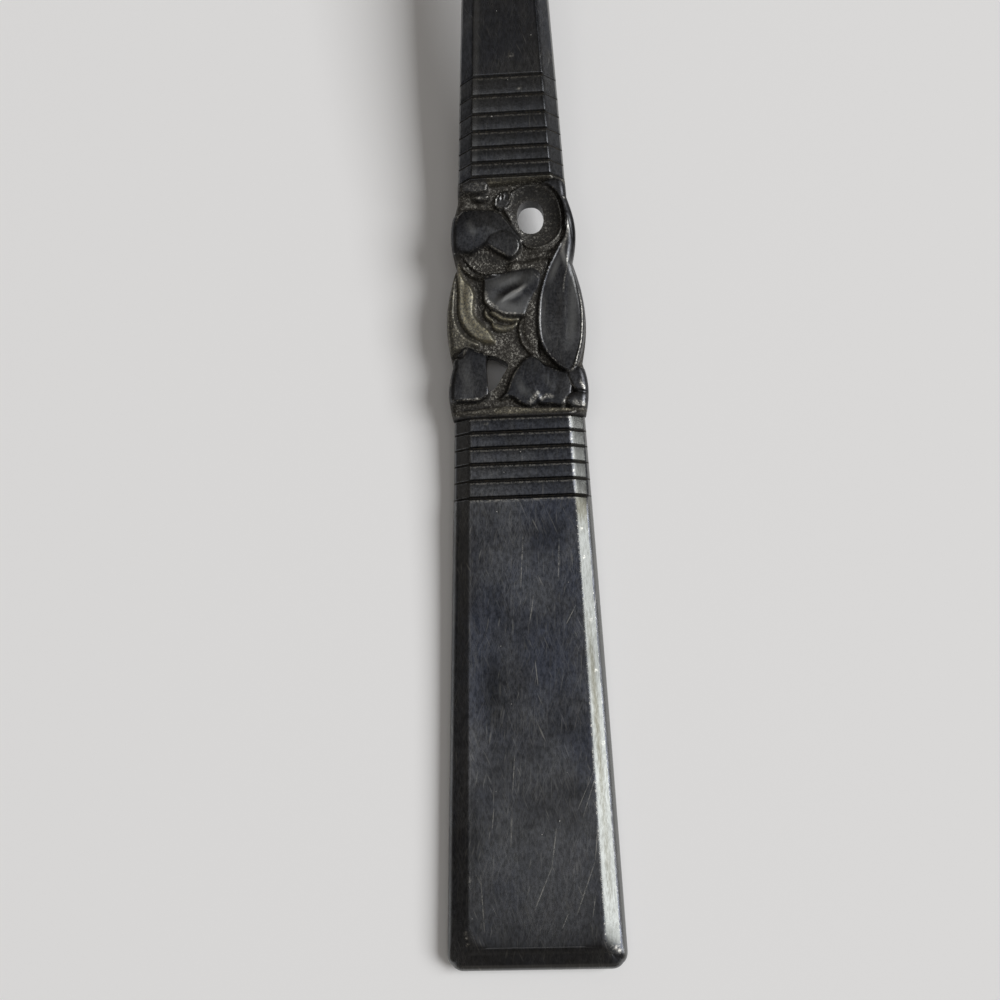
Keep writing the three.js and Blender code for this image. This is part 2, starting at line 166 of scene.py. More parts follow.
def ridgeInset(along):
    share = np.clip((along - profile["restLength"]) / (bowlAt - profile["restLength"]), 0, 1)
    return lerp(handle["neckRidge"], handle["endRidge"], (1 - share) ** 2)


def bevelSlope(along):
    atReeds = handle["reedSlope"] * smoothStep(along, lowerReedsAt - 1.5, lowerReedsAt + 1)
    return handle["endSlope"] + atReeds + handle["stemSlope"] * smoothStep(along, panelAt, upperReedsAt)


# The reeds: V-shaped cross grooves with slightly crowned metal between them

reeds = {
    "lower": {"count": 5, "firstPitch": 1.43, "growth": 0.045},
    "upper": {"count": 6, "firstPitch": 1.36, "growth": 0.1},
    "grooveDepth": 0.22,
    "grooveHalfWidth": 0.15,
    "shoulderRound": 0.025,
    "crown": 0.03,
    "rubbedAt": 0.24,  # a painted highlight runs this far from each groove, towards the handle's end
    "rubbedHalf": 0.13,
}


def grooveOffsets(band):
    widths = band["firstPitch"] + band["growth"] * np.arange(band["count"])
    return np.concatenate([[0], np.cumsum(widths)])


lowerGrooves = (panelAt - grooveOffsets(reeds["lower"]))[::-1]
upperGrooves = upperReedsAt + grooveOffsets(reeds["upper"])
grooves = np.concatenate([lowerGrooves, upperGrooves])


def nearestGroove(along):
    return np.abs(np.subtract.outer(along, grooves)).min(axis=-1)


def grooveCut(along):
    near = nearestGroove(along)
    straight = reeds["grooveDepth"] * (1 - near / reeds["grooveHalfWidth"])
    soft = (straight + np.hypot(straight, reeds["shoulderRound"])) / 2
    inBand = (along >= lowerReedsAt) & (along <= panelAt) | (along >= upperReedsAt) & (along <= stemAt)
    crown = reeds["crown"] * (1 - smoothStep(near, 0, reeds["lower"]["firstPitch"] / 2))
    return soft + np.where(inBand, crown, 0)


def shoulderHighlight(along):
    away = np.abs(np.subtract.outer(along + reeds["rubbedAt"], grooves)).min(axis=-1)
    return bell(away, reeds["rubbedHalf"])


def sectionLevels(along):
    # half a section from the flat top to the underside: inset from the edge, height, and wear,
    # which goes below 0 down the side wall, where it marks the wall's painted reflection
    crisp = smoothStep(along, lowerReedsAt, panelAt)
    crisp *= 1 - smoothStep(along, stemAt, stemAt + handle["crispFade"])
    reach = lerp(*handle["upperEdgeReach"], crisp)
    radius = lerp(*handle["upperEdgeRadius"], crisp)
    slope = bevelSlope(along)
    start = math.atan(slope * reach / radius)
    turn = lerp(handle["ridgeRound"], handle["stemRidgeRound"], smoothStep(along, panelAt, upperReedsAt))
    ridge = ridgeInset(along)
    edge = reach * (1 - math.sin(start))
    bevel = ridge - edge
    share = np.linspace(0, 1, handle["ridgePoints"])
    outward = 2 * share * (1 - share) * ridge + share**2 * (ridge - turn) + (1 - share) ** 2 * (ridge + turn)
    ridgeDrop = share**2 * turn * slope
    bevelInset = np.linspace(ridge - turn, edge, handle["bevelPoints"])[1:]
    bevelDrop = (ridge - bevelInset) * slope
    angle = np.linspace(start, math.pi / 2, handle["edgePoints"])[1:]
    edgeInset = reach * (1 - np.sin(angle))
    edgeDrop = bevel * slope + radius * (math.cos(start) - np.cos(angle))
    cutFade = 1 - (angle - start) / (math.pi / 2 - start)
    top = topLine(along)
    under = top - thickness(along)
    cut = grooveCut(along)
    widest = top - edgeDrop[-1]
    lower = np.linspace(0, math.pi / 2, handle["edgePoints"])[1:]
    inset = np.concatenate([outward, bevelInset, edgeInset, handle["lowerEdgeWidth"] * (1 - np.cos(lower))])
    height = np.concatenate([
        top - ridgeDrop - cut,
        top - bevelDrop - cut,
        top - edgeDrop - cut * cutFade,
        lerp(widest, under, np.sin(lower)),
    ])
    rim = lerp(*handle["rim"], smoothStep(along, lowerReedsAt - 0.5, lowerReedsAt + 0.5))
    turns = rim + np.array(handle["rimTurns"])
    outer = smoothStep(edgeInset, *turns[2:]) + smoothStep(edgeInset, *turns[:2]) - 1
    wear = np.concatenate([share, np.ones(len(bevelInset)), outer, -np.cos(lower)])
    return inset, height, wear


def handleRing(along, corner=None):
    # points round the metal: down the right side, under, up the left side and back over the top
    inset, height, wear = sectionLevels(along)
    radius = handle["cornerRadius"]
    if corner is None:
        at = np.maximum(along, inset)
        x = halfWidth(at) - inset
    else:
        centre = np.maximum(radius, inset)
        bend = np.maximum(radius - inset, 0)
        at = centre - bend * math.sin(corner)
        x = halfWidth(centre) - centre + bend * math.cos(corner)
    right = np.stack([x, at, height + topLine(at) - topLine(along), wear], axis=1)
    left = right[::-1] * [-1, 1, 1, 1]
    share = np.linspace(0, 1, handle["columns"] + 2)[1:-1, None]
    under = lerp(right[-1], left[0], share)
    top = lerp(left[-1], right[0], share)
    return np.concatenate([right, under, left, top])


def capGrid(ring, start, firstNew):
    # closes a ring with rows from its right side to its left; returns new points and faces
    columns = handle["columns"]
    levels = (len(ring) - 2 * columns) // 2
    share = np.linspace(0, 1, columns + 2)[1:-1, None]
    rightAt = np.arange(levels)
    leftAt = 2 * levels + columns - 1 - rightAt
    rows, added = [], []
    for level in range(levels):
        if level == 0:
            middle = start + len(ring) - 1 - np.arange(columns)
        elif level == levels - 1:
            middle = start + levels + np.arange(columns)
        else:
            middle = firstNew + len(added) * columns + np.arange(columns)
            added.append(lerp(ring[rightAt[level]], ring[leftAt[level]], share))
        rows.append(np.concatenate([[start + rightAt[level]], middle, [start + leftAt[level]]]))
    grid = np.array(rows)
    faces = np.stack([grid[:-1, :-1], grid[:-1, 1:], grid[1:, 1:], grid[1:, :-1]], axis=-1).reshape(-1, 4)
    return np.concatenate(added), faces


def loft(rings, closeLast=True):
    # quads between rings of as many points each, with a grid over each end
    count = len(rings[0])
    points = np.concatenate(rings)
    index = np.arange(len(points)).reshape(len(rings), count)
    around = np.roll(index, -1, axis=1)
    faces = [np.stack([index[:-1], around[:-1], around[1:], index[1:]], axis=-1).reshape(-1, 4)]
    added, capFaces = capGrid(rings[0], 0, len(points))
    points = np.concatenate([points, added])
    faces.append(capFaces)
    if closeLast:
        added, capFaces = capGrid(rings[-1], index[-1, 0], len(points))
        points = np.concatenate([points, added])
        faces.append(capFaces[:, ::-1])
    return points, np.concatenate(faces)


def makePiece(name, node, points, faces, masks, sharpAngle=50):
    # a mesh in metres, inside the solid model's box, riding on the spoon's body in place of its CAD node
    low, high = np.array(cadBox[0]), np.array(cadBox[1])
    placed = (points[:, :3] - [0, overallLength / 2, 0]) * mm
    mesh = bpy.data.meshes.new(name)
    mesh.from_pydata(np.clip(placed, low, high).tolist(), [], [face.tolist() for face in faces])
    for maskName, values in masks.items():
        layer = mesh.attributes.new(maskName, "FLOAT", "POINT")
        layer.data.foreach_set("value", np.asarray(values, dtype=np.float32))
    cleaner = bmesh.new()
    cleaner.from_mesh(mesh)
    bmesh.ops.remove_doubles(cleaner, verts=cleaner.verts, dist=0.002 * mm)
    bmesh.ops.recalc_face_normals(cleaner, faces=cleaner.faces)
    cleaner.to_mesh(mesh)
    cleaner.free()
    mesh.shade_smooth()
    mesh.set_sharp_from_angle(angle=math.radians(sharpAngle))
    piece = bpy.data.objects.new(name, mesh)
    bpy.context.scene.collection.objects.link(piece)
    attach(piece, "root")
    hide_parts(node)
    print("made", name, len(mesh.polygons), "faces")
    return piece


# how wear, tarnish and painted light and shade lie on the handle; a pair of places is where something begins
# and is full
tones = {
    "leftWear": 0.25,  # wear of the left side and the end, against the right; the fuller wear on the right also paints the window's highlight brighter there
    # past the panel the wear is cut back, which also darkens the reflection along the right ridge
    "stemWear": 0.3,
    "flatEdge": 0.1,  # half the turn from the flat to the bevel
    "rightFrom": (1, 3.4),
    "streakInset": 1.2,  # middle of the darker streak along the bevel, from the edge
    "streakHalf": 0.42,
    "streakFrom": (3, 9),
    "streakTo": (26, 33),
    "streakFaint": 0.6,  # its share before it grows
    "streakGrows": (13, 21),
    "streakAtReeds": 3,
    "bandInset": 0.3,  # painted highlight: a pale band beside the left ridge, past the panel
    "bandHalf": 0.45,
    "bandPale": 0.3,
    "walls": (0.3, 0.5, 0.85),  # painted reflection of the table on the side wall: how pale it is on the left, at the end and on the right
    "wallTurns": (0.3, 1.8),
    "endWall": (0.5, 0.68),
    "endShine": 0.12,  # painted reflection: how pale the end's bevel is
    "endShineTo": (1, 3),
    "leftShine": (0.05, 0.19),  # painted reflection on the left bevel, low and high up the terminal
    "leftShineRises": (14, 40),
    "flatShine": 0.08,  # painted highlight on the flat near the end
    "flatShineTo": (12, 24),
    "stemFrom": 18,  # where the stem's painted highlights and shade begin, from the panel's lower end
    # painted highlights on the stem's flat and right bevel, painted shade on its left bevel and right ridge
    "stemFlat": 0.11,
    "stemRight": 0.13,
    "stemLeftDark": 0.5,
    "stemRidgeDark": 0.75,
    "stemRidgeHalf": 0.25,
    "rightDark": 0.26,  # painted shade on the right bevel, high up the terminal
    "rightDarkFrom": (19, 27),
    "shoulders": 0.5,  # how bright the painted highlight beside each groove is
}

# small bare spots on the handle: across, along, size and how bright
chips = [
    (7.15, 1.6, 0.42, 1), (6.9, 1.95, 0.3, 0.8), (6.42, 1.47, 0.3, 0.6), (-6.15, 3.05, 0.26, 1),
    (-6.2, 3.5, 0.22, 0.8), (-6.05, 2.45, 0.24, 0.9), (-5.7, 7.9, 0.24, 0.7), (5.4, 38.9, 0.15, 0.6),
    (5.55, 36.2, 0.15, 0.5), (5.95, 30.4, 0.2, 0.6), (6.2, 25.8, 0.2, 0.6), (6.62, 19.4, 0.2, 0.7),
    (-0.9, 43.7, 0.3, 0.3), (-3.2, 49, 0.26, 0.8), (0.4, 84.2, 0.5, 0.6), (1.1, 80.9, 0.3, 0.6),
]

# darker clouds on the flat of the terminal: across, along, their reaches and how dark
clouds = [
    (-3.1, 24.6, 2, 5, 0.62), (-2.4, 33, 1.6, 5, 0.25), (3, 20.8, 3, 1.6, 0.3), (4.2, 15.2, 2.4, 1.2, 0.35),
    (-5.2, 12, 0.9, 7, 0.5), (-0.2, 12.4, 1.2, 0.5, 0.4), (0, 2.1, 7, 0.7, 0.3), (2.2, 38.4, 3, 2.4, 0.3),
]


def handlePiece(name, node, rings):
    points, faces = loft(rings)
    x, along, height = points[:, 0], points[:, 1], points[:, 2]
    level, wall = np.clip(points[:, 3], 0, 1), np.clip(-points[:, 3], 0, 1)
    inset = halfWidth(along) - np.abs(x)
    fromRidge = inset - ridgeInset(along)
    onFlat = smoothStep(fromRidge, -tones["flatEdge"], tones["flatEdge"]) * (topLine(along) - height < 0.5)
    rightSide = smoothStep(x, 0, 1) * smoothStep(along, *tones["rightFrom"])
    pastPanel = smoothStep(along, panelAt, upperReedsAt)
    onStem = smoothStep(along, panelAt + tones["stemFrom"], stemAt)

    streak = bell(np.abs(inset - tones["streakInset"]), tones["streakHalf"])
    streak *= smoothStep(along, *tones["streakFrom"]) * (1 - smoothStep(along, *tones["streakTo"]))
    streak *= lerp(tones["streakFaint"], 1, smoothStep(along, *tones["streakGrows"]))
    streak += bell(np.abs(along - lowerReedsAt + 1), tones["streakAtReeds"])

    # painted highlights and reflections, laid on as a pale colour: a band beside the left ridge, the side
    # walls, the left and end bevels, the stem and the flat near the end
    paintedLeftBand = bell(np.abs(fromRidge - tones["bandInset"]), tones["bandHalf"]) * (x < 0)
    wallLeft, wallEnd, wallRight = tones["walls"]
    wallReflection = lerp(wallEnd, np.where(x > 0, wallRight, wallLeft), smoothStep(along, *tones["wallTurns"]))
    leftShine = lerp(*tones["leftShine"], smoothStep(along, *tones["leftShineRises"]))
    leftShine = lerp(tones["endShine"], leftShine, smoothStep(along, *tones["endShineTo"]))
    leftShine *= 1 - pastPanel
    flatShine = tones["flatShine"] * (1 - smoothStep(along, *tones["flatShineTo"]))
    flatShine += tones["stemFlat"] * onStem
    sheen = (
        paintedLeftBand * smoothStep(along, panelAt, stemAt) * tones["bandPale"]
        + wall * wallReflection
        + level * (1 - rightSide) * leftShine
        + level * rightSide * onStem * tones["stemRight"]
        + onFlat * flatShine
    )
    sheen = np.maximum(sheen, wallEnd * (1 - smoothStep(along, *tones["endWall"])))

    # painted highlight along one shoulder of each groove, with real bare chips over it
    rubbed = shoulderHighlight(along) * tones["shoulders"] * onFlat
    for spotX, spotY, size, bright in chips:
        rubbed = np.maximum(rubbed, bright * bell(np.hypot(x - spotX, along - spotY), size))

    # painted shade: the right bevel high up the terminal, and the stem's left bevel and right ridge, darkened
    # to hold back reflections; the clouds below are darker tarnish
    highUp = smoothStep(along, *tones["rightDarkFrom"]) * (along < lowerReedsAt)
    onRidge = bell(np.abs(fromRidge), tones["stemRidgeHalf"]) * rightSide
    stemPaintedShade = tones["stemLeftDark"] * level * (1 - rightSide) + tones["stemRidgeDark"] * onRidge
    dark = np.maximum(tones["rightDark"] * highUp * level * rightSide, onStem * stemPaintedShade)
    for cloudX, cloudY, reachX, reachY, amount in clouds:
        away = np.hypot((x - cloudX) / reachX, (along - cloudY) / reachY)
        dark = np.maximum(dark, amount * bell(away, 1) * onFlat)

    # the masks: wear is worn plate, fuller on the right side, where it also paints the window's highlight
    # brighter; rubbed holds chips and the painted groove highlight; sheen is painted highlight and
    # reflection; dark is tarnish clouds and painted shade
    masks = {
        "wear": level * lerp(tones["leftWear"], 1, rightSide) * lerp(1, tones["stemWear"], pastPanel),
        "recess": np.clip(grooveCut(along) / reeds["grooveDepth"] - 0.5, 0, 0.5) * 2,
        "rubbed": rubbed,
        "streak": np.clip(streak, 0, 1),
        "sheen": sheen,
        "dark": dark,
    }
    return makePiece(name, node, points, faces, masks)


# The terminal: the flared flat end, with mitred corners

terminal = {
    "cornerSteps": 12,
    "mitreStep": 0.07,
    "mitreLength": 3,
    "step": 0.22,
    "lastStep": 0.06,
    "mitreRound": 0.75,
    "mitreFade": 0.8,
}


def softMitre(ring):
    # rounds the line where the end's bevel meets a side's bevel, down to nothing at the edge
    levels = (len(ring) - 2 * handle["columns"]) // 2
    inset, height, _ = sectionLevels(0)
    upper = handle["ridgePoints"] + handle["bevelPoints"] + handle["edgePoints"] - 2
    inset, height = inset[:upper][::-1], height[:upper][::-1] - topLine(0)
    x, along = np.abs(ring[:, 0]), ring[:, 1]
    side, end = halfWidth(along) - x, along
    near = np.minimum(side, end)
    roundness = terminal["mitreRound"]
    closer = roundness * np.log1p(np.exp(-np.abs(side - end) / roundness))
    closer *= smoothStep(near, 0, terminal["mitreFade"])
    change = np.interp(near - closer, inset, height) - np.interp(near, inset, height)
    onTop = np.zeros(len(ring), bool)
    onTop[: upper] = onTop[-handle["columns"]:] = True
    onTop[2 * levels + handle["columns"] - upper: 2 * levels + handle["columns"]] = True
    ring = ring.copy()
    ring[:, 2] += np.where(onTop, change, 0)
    return ring


def makeTerminal():
    corners = np.linspace(math.pi / 2, 0, terminal["cornerSteps"] + 1)[:-1]
    mitreEnd = terminal["mitreLength"]
    lastPart = lowerReedsAt - 2 * reeds["grooveHalfWidth"]
    stations = np.concatenate([
        steps(handle["cornerRadius"], mitreEnd, terminal["mitreStep"]),
        steps(mitreEnd, lastPart, terminal["step"])[1:],
        steps(lastPart, lowerReedsAt, terminal["lastStep"])[1:],
    ])
    rings = [handleRing(0, corner) for corner in corners]
    rings += [handleRing(along) for along in stations]
    return handlePiece("terminalPlate", "terminal", [softMitre(ring) for ring in rings])


terminalPlate = makeTerminal()

# The two reeded bands

reedPieces = {"grooveStep": 0.03, "reedStep": 0.1, "grooveReach": 1.3}


def makeReeds(name, node, bandGrooves):
    width = reeds["grooveHalfWidth"] * reedPieces["grooveReach"]
    stations = [bandGrooves[0]]
    for groove, following in zip(bandGrooves[:-1], bandGrooves[1:]):
        stations += list(steps(groove, groove + width, reedPieces["grooveStep"])[1:])
        stations += list(steps(groove + width, following - width, reedPieces["reedStep"])[1:])
        stations += list(steps(following - width, following, reedPieces["grooveStep"])[1:])
    return handlePiece(name, node, [handleRing(along) for along in stations])


lowerReedsPlate = makeReeds("lowerReedsPlate", "lower_reeds", lowerGrooves)
upperReedsPlate = makeReeds("upperReedsPlate", "upper_reeds", upperGrooves)

# The stem and the neck

stem = {"step": 0.4, "firstStep": 0.05}


def makeStem():
    firstPart = stemAt + 2 * reeds["grooveHalfWidth"]
    stations = np.concatenate([
        steps(stemAt, firstPart, stem["firstStep"]),
        steps(firstPart, neckAt, stem["step"])[1:],
    ])
    return handlePiece("stemPlate", "stem", [handleRing(along) for along in stations])


stemPlate = makeStem()
neck = {"step": 0.35}
neckPlate = handlePiece(
    "neckPlate", "neck", [handleRing(along) for along in steps(neckAt, bowlAt, neck["step"])]
)

# The carved panel: a bud, a scroll and leaves over a stippled ground, pierced twice.
# Its forms are drawn as [across, distance from the panel's lower end], on a panel of the drawn size.

panel = {
    "rows": 268,
    "columns": 168,
    "columnSpread": math.radians(60),
    "drawnLength": 21.5,
    "drawnWidth": 10.9,
    "lobes": [(2.5, 2.9, 0.55), (8.9, 4.8, 0.86), (16.6, 3, 0.57)],  # where, reach, how far out
    "groundDepth": 0.85,
    "edgeRound": 0.75,
    "endBlend": 0.55,
    "widestShare": 0.35,
    "lowestShare": 0.4,
    "sideSteps": 4,
    "grainSize": 0.14,
    "grainHeight": 0.022,
    "fineGrain": (0.62, 0.7),  # a second, finer grain: its size and height against the first
    "glintSpread": 1.5,
    "sheenTaper": 1.4,
    "blurRounds": 14,  # the wear and the dirt follow what stands out from the blurred carving
    "standsOut": 0.12,
    "dirtBelow": 0.35,  # dirt also lies below this height over the ground
    "holeCentre": (1.64, 17.95),
    "holeHalf": (1.22, 1.5),  # across and along
    "holeSquareness": 0.85,
    "gap": [(-2.9, 5.7), (-2.2, 5.7), (-0.7, 4.9), (-1.4, 3.8), (-2.1, 2.7), (-2.8, 2.3)],
}
panelLength = upperReedsAt - panelAt
stretch = np.array([
    2 * halfWidth(panelAt + panelLength / 2) / panel["drawnWidth"],
    panelLength / panel["drawnLength"],
])

# each form: outline, height above the ground at its foot and how much it swells, from the lowest to the top
forms = [
    {"points": [(-2.6, 20.9), (-1.5, 20.9), (0.5, 21), (3, 21.1), (5.8, 20.9), (5.8, 21.8), (-2.6, 21.8)],
     "base": 0.46, "crown": 0.1, "reach": 0.3, "grain": 1, "soft": 0.3, "gilt": 0.3},  # strip at the end
    {"points": [(-6, 19.9), (-6, 21.5), (-4.2, 21.7), (-3.1, 21.6), (-2.3, 21.3), (-2.1, 20.7),
                (-2.4, 20.2), (-3.5, 20.1), (-4.5, 20.2)],
     "base": 0.42, "crown": 0.16, "reach": 0.8, "grain": 0.45, "soft": 0.45},  # curl at the upper left
    {"points": [(-3.6, 19.8), (-3.1, 20.1), (-2.4, 20.1), (-2, 19.9), (-2.3, 19.5), (-3, 19.4)],
     "base": 0.36, "crown": 0.18, "reach": 0.3, "grain": 0.5, "soft": 0.3},  # small curl under it
    {"points": [(-6.5, 13.6), (-5.4, 13.5), (-5.4, 12), (-5.5, 10.2), (-5.5, 9.2), (-5.2, 8.3), (-4.5, 7.4),
                (-3.4, 6.75), (-3.6, 6.3), (-4.6, 6.3), (-5.6, 6), (-6.5, 6.4)],
     "base": 0.4, "crown": 0.22, "reach": 1.1, "grain": 0.7, "gilt": 0.3, "soft": 0.5},  # behind the ribbon
    {"points": [(-0.65, 18.45), (-0.9, 19.05), (-0.5, 19.8), (0.43, 20.5), (1.62, 20.85), (3.12, 20.55),
                (4.05, 19.64), (4.45, 18.45), (4.48, 17.11), (4.2, 16.1), (3.36, 15.35), (2.25, 15),
                (1.25, 15.2), (0.6, 15.88), (0.13, 16.82), (-0.26, 17.68)],
     "base": 0.56, "crown": -0.52, "reach": 1.6, "grain": 0.62, "soft": 0.3},  # dished eye
    {"points": [(2.6, 20.75), (3.9, 21.2), (5.2, 20.6), (6, 19), (6.6, 17), (6.6, 15.2), (5.5, 14.5),
                (5.15, 15.8), (5.05, 16.9), (4.7, 16.6), (4.68, 18.1), (4.3, 19.5), (3.4, 20.5)],
     "base": 0.6, "crown": 0.1, "reach": 1.4, "soft": 0.3},  # crescent round the eye
    {"points": [(-4.9, 14.9), (-4.1, 14.9), (-3.3, 15.2), (-2.6, 15.5), (-1.9, 15.2), (-1.1, 14.7),
                (-0.4, 14.3), (0.4, 14.3), (0.2, 13.5), (-0.6, 13.15), (-1.5, 12.95), (-2.5, 12.85),
                (-3.4, 13.05), (-4.2, 13.7), (-4.75, 14.5)],
     "base": 0.36, "crown": -0.18, "reach": 0.9, "grain": 0.85, "soft": 0.4},  # hollow under the bud
    {"points": [(-1.55, 18.9), (-1.53, 19.41), (-1.26, 19.9), (-0.75, 20.3), (-0.24, 20.27), (-0.09, 19.76),
                (-0.2, 19.18), (-0.55, 18.8), (-1.14, 18.64)],
     "base": 0.3, "crown": 0.2, "reach": 0.4, "grain": 0.2},  # small striped leaf
    {"points": [(-6.2, 18), (-4.93, 18.35), (-4.49, 18.7), (-3.31, 18.75), (-2.39, 18.65), (-1.39, 18.5),
                (-0.57, 17.77), (0.07, 16.91), (0.62, 16.05), (0.73, 15.38), (0.49, 14.65), (-0.03, 14.22),
                (-0.45, 14.16), (-1.11, 14.56), (-1.93, 15.06), (-2.6, 15.35), (-3.27, 15.05),
                (-4.04, 14.7), (-4.9, 14.8), (-6.2, 15)],
     "base": 0.52, "crown": 0.32, "reach": 2.4, "soft": 0.42},  # bud
    {"points": [(-2.4, 15.66), (-2.05, 16.23), (-1.37, 16.55), (-0.61, 16.55), (0.05, 16.21), (0.53, 15.52),
                (0.5, 14.78), (-0.02, 14.22), (-0.45, 14.16), (-1.1, 14.56), (-1.92, 15.06)],
     "base": 0.78, "crown": 0.07, "reach": 0.8, "soft": 0.24},  # the bud's tip
    {"points": [(-2.9, 9.7), (-2.85, 9.1), (-2.4, 8.7), (-1.9, 8.5), (-2.1, 8.9), (-2.5, 9.3), (-2.7, 9.8)],
     "base": 0.26, "crown": 0.16, "reach": 0.2, "grain": 0.5, "gilt": 0.6, "soft": 0.2},  # curl by the petal
    {"points": [(-2.4, 9.5), (-1.9, 9.05), (-1.3, 8.7), (-0.5, 8.55), (0.25, 8.65), (0.2, 8.9),
                (-0.5, 8.95), (-1.3, 9.15), (-2, 9.6)],
     "base": 0.24, "crown": 0.16, "reach": 0.25, "grain": 0.5, "gilt": 0.8, "soft": 0.2},  # second curl
    {"points": [(-2.2, 8.6), (-1.3, 8.35), (-0.5, 8.35), (0.1, 8.6), (0, 8.1), (-1, 7.7), (-2, 7.9)],
     "base": 0.18, "crown": 0.16, "reach": 0.3, "grain": 0.5, "gilt": 0.7},  # third curl
    {"points": [(-5.15, 14), (-5.25, 12.8), (-5.25, 11.2), (-5.3, 9.7), (-5.05, 8.65), (-4.46, 7.7),
                (-3.8, 7.1), (-2.95, 6.8), (-2, 6.8), (-2.3, 7.6), (-2.75, 8.15), (-3.4, 8.77),
                (-3.8, 9.46), (-3.77, 10.3), (-3.7, 11.2), (-4, 11.9), (-4.5, 12.45), (-4.9, 13.2)],
     "base": 0.38, "crown": 0.2, "reach": 1, "grain": 0.4, "gilt": 1, "soft": 0.5},  # ribbon
    {"points": [(1.07, 9.86), (0.71, 9.12), (0.43, 8.46), (0.31, 7.63), (0.49, 6.79), (0.93, 6.1),
                (1.42, 5.5), (2, 5.3), (1.8, 6.4), (1.6, 7.3), (1.6, 8.58), (1.8, 9.74), (1.6, 10.3)],
     "base": 0.46, "crown": -0.12, "reach": 0.6, "grain": 0.9, "soft": 0.35},  # hollow beside the long leaf
    {"points": [(-0.6, 13.4), (1.2, 13.9), (3.2, 14), (2.9, 12.4), (2.5, 10.6), (2.3, 8.6), (2.2, 6.8),
                (1.7, 5.9), (1, 6.4), (0.6, 8), (0.8, 10)],
     "base": 0.55, "crown": 0.02, "reach": 0.5, "grain": 1, "soft": 0.6},  # ground between petal and leaf
    {"points": [(-2.84, 12.03), (-2.8, 12.5), (-2.19, 12.8), (-1.18, 12.95), (0.17, 13.05), (1.67, 13.2),
                (2.35, 12.6), (2.15, 11.5), (1.7, 10.9), (1.26, 10.1), (0.98, 9.44), (0.63, 8.98),
                (-0.82, 9.03), (-1.66, 9.35), (-2.49, 9.93), (-2.87, 10.5), (-2.9, 11.21)],
     "base": 0.58, "crown": 0.12, "reach": 1.2, "soft": 0.24},  # folded petal
    {"points": [(5.05, 17.7), (4.9, 16.9), (4.65, 15.9), (4.2, 15.2), (3.6, 14.2), (3.05, 13.08),
                (2.6, 11.94), (2.22, 10.72), (2.02, 9.74), (1.92, 8.5), (1.92, 7.25), (2.18, 6.32),
                (2.82, 5.25), (3.62, 4.4), (4.3, 3.88), (4.76, 3.75), (5.2, 4), (5.7, 5), (6.1, 6.6),
                (6.3, 8.3), (6.3, 9.6), (6.1, 11), (5.9, 12.6), (5.65, 14.2), (5.4, 15.5)],
     "base": 0.7, "crown": 0.12, "reach": 1.2, "soft": 0.14},  # long leaf
    {"points": [(-4.75, 6.4), (-3.66, 6.1), (-2.7, 5.6), (-2.6, 4.5), (-2.6, 2.9), (-2.75, 1.95),
                (-3.74, 1.5), (-5.11, 1.5), (-6.4, 1.7), (-6.7, 3), (-6.5, 4.22), (-5.6, 5.5)],
     "base": 0.56, "crown": 0.12, "reach": 1.4, "soft": 0.35},  # lower left leaf
    {"points": [(2, 4.6), (1.8, 2.95), (1.6, 1.5), (2.1, 1), (2.96, 0.95), (3.97, 0.8), (4.6, 1.3),
                (4.9, 2.45), (4.8, 3.6), (3.7, 4.1)],
     "base": 0.46, "crown": 0.14, "reach": 1.3, "soft": 0.35},  # lower right leaf
    {"points": [(1, 5.4), (0.3, 4.85), (-0.41, 3.95), (-0.8, 3.17), (-1.1, 2.35), (-1.65, 1.65),
                (-0.66, 1.75), (0.16, 1.15), (1, 0.85), (1.65, 1.1), (2.28, 1.88), (2.58, 2.95),
                (2.62, 3.9), (2.3, 4.7), (1.7, 5.25)],
     "base": 0.54, "crown": 0.14, "reach": 1.6, "soft": 0.3},  # lower middle leaf
    {"points": [(4.5, 3.8), (4.72, 2.9), (5.2, 2.1), (6.6, 1.7), (6.8, 2.9), (6.4, 4), (5.4, 4.3)],
     "base": 0.5, "crown": 0.2, "reach": 0.7, "soft": 0.25},  # leaf at the right edge
    {"points": [(4.2, 1.2), (4.69, 1.9), (5.3, 2.1), (6.6, 1.8), (6.6, 0.7), (5.9, 0.4), (4.97, 0.5)],
     "base": 0.46, "crown": 0.24, "reach": 0.7, "soft": 0.25},  # small leaf under it
    {"points": [(-6.5, 0.15), (-2, 0.25), (1, 0.2), (6.5, 0.15), (6.5, 0.5), (4.4, 0.65), (1, 0.7),
                (-1.6, 1), (-4.1, 0.8), (-6.5, 0.6)],
     "base": 0.4, "crown": 0.12, "reach": 0.3, "grain": 1, "gilt": 0.1},  # bar along the lower end
    {"points": [(-2.2, 0.3), (0, 0.25), (2.4, 0.25), (4.8, 0.35), (4.2, 0.7), (1, 0.8), (-1.4, 1)],
     "base": 0.42, "crown": 0.14, "reach": 0.3, "grain": 1, "gilt": 0.35},  # its raised middle
]

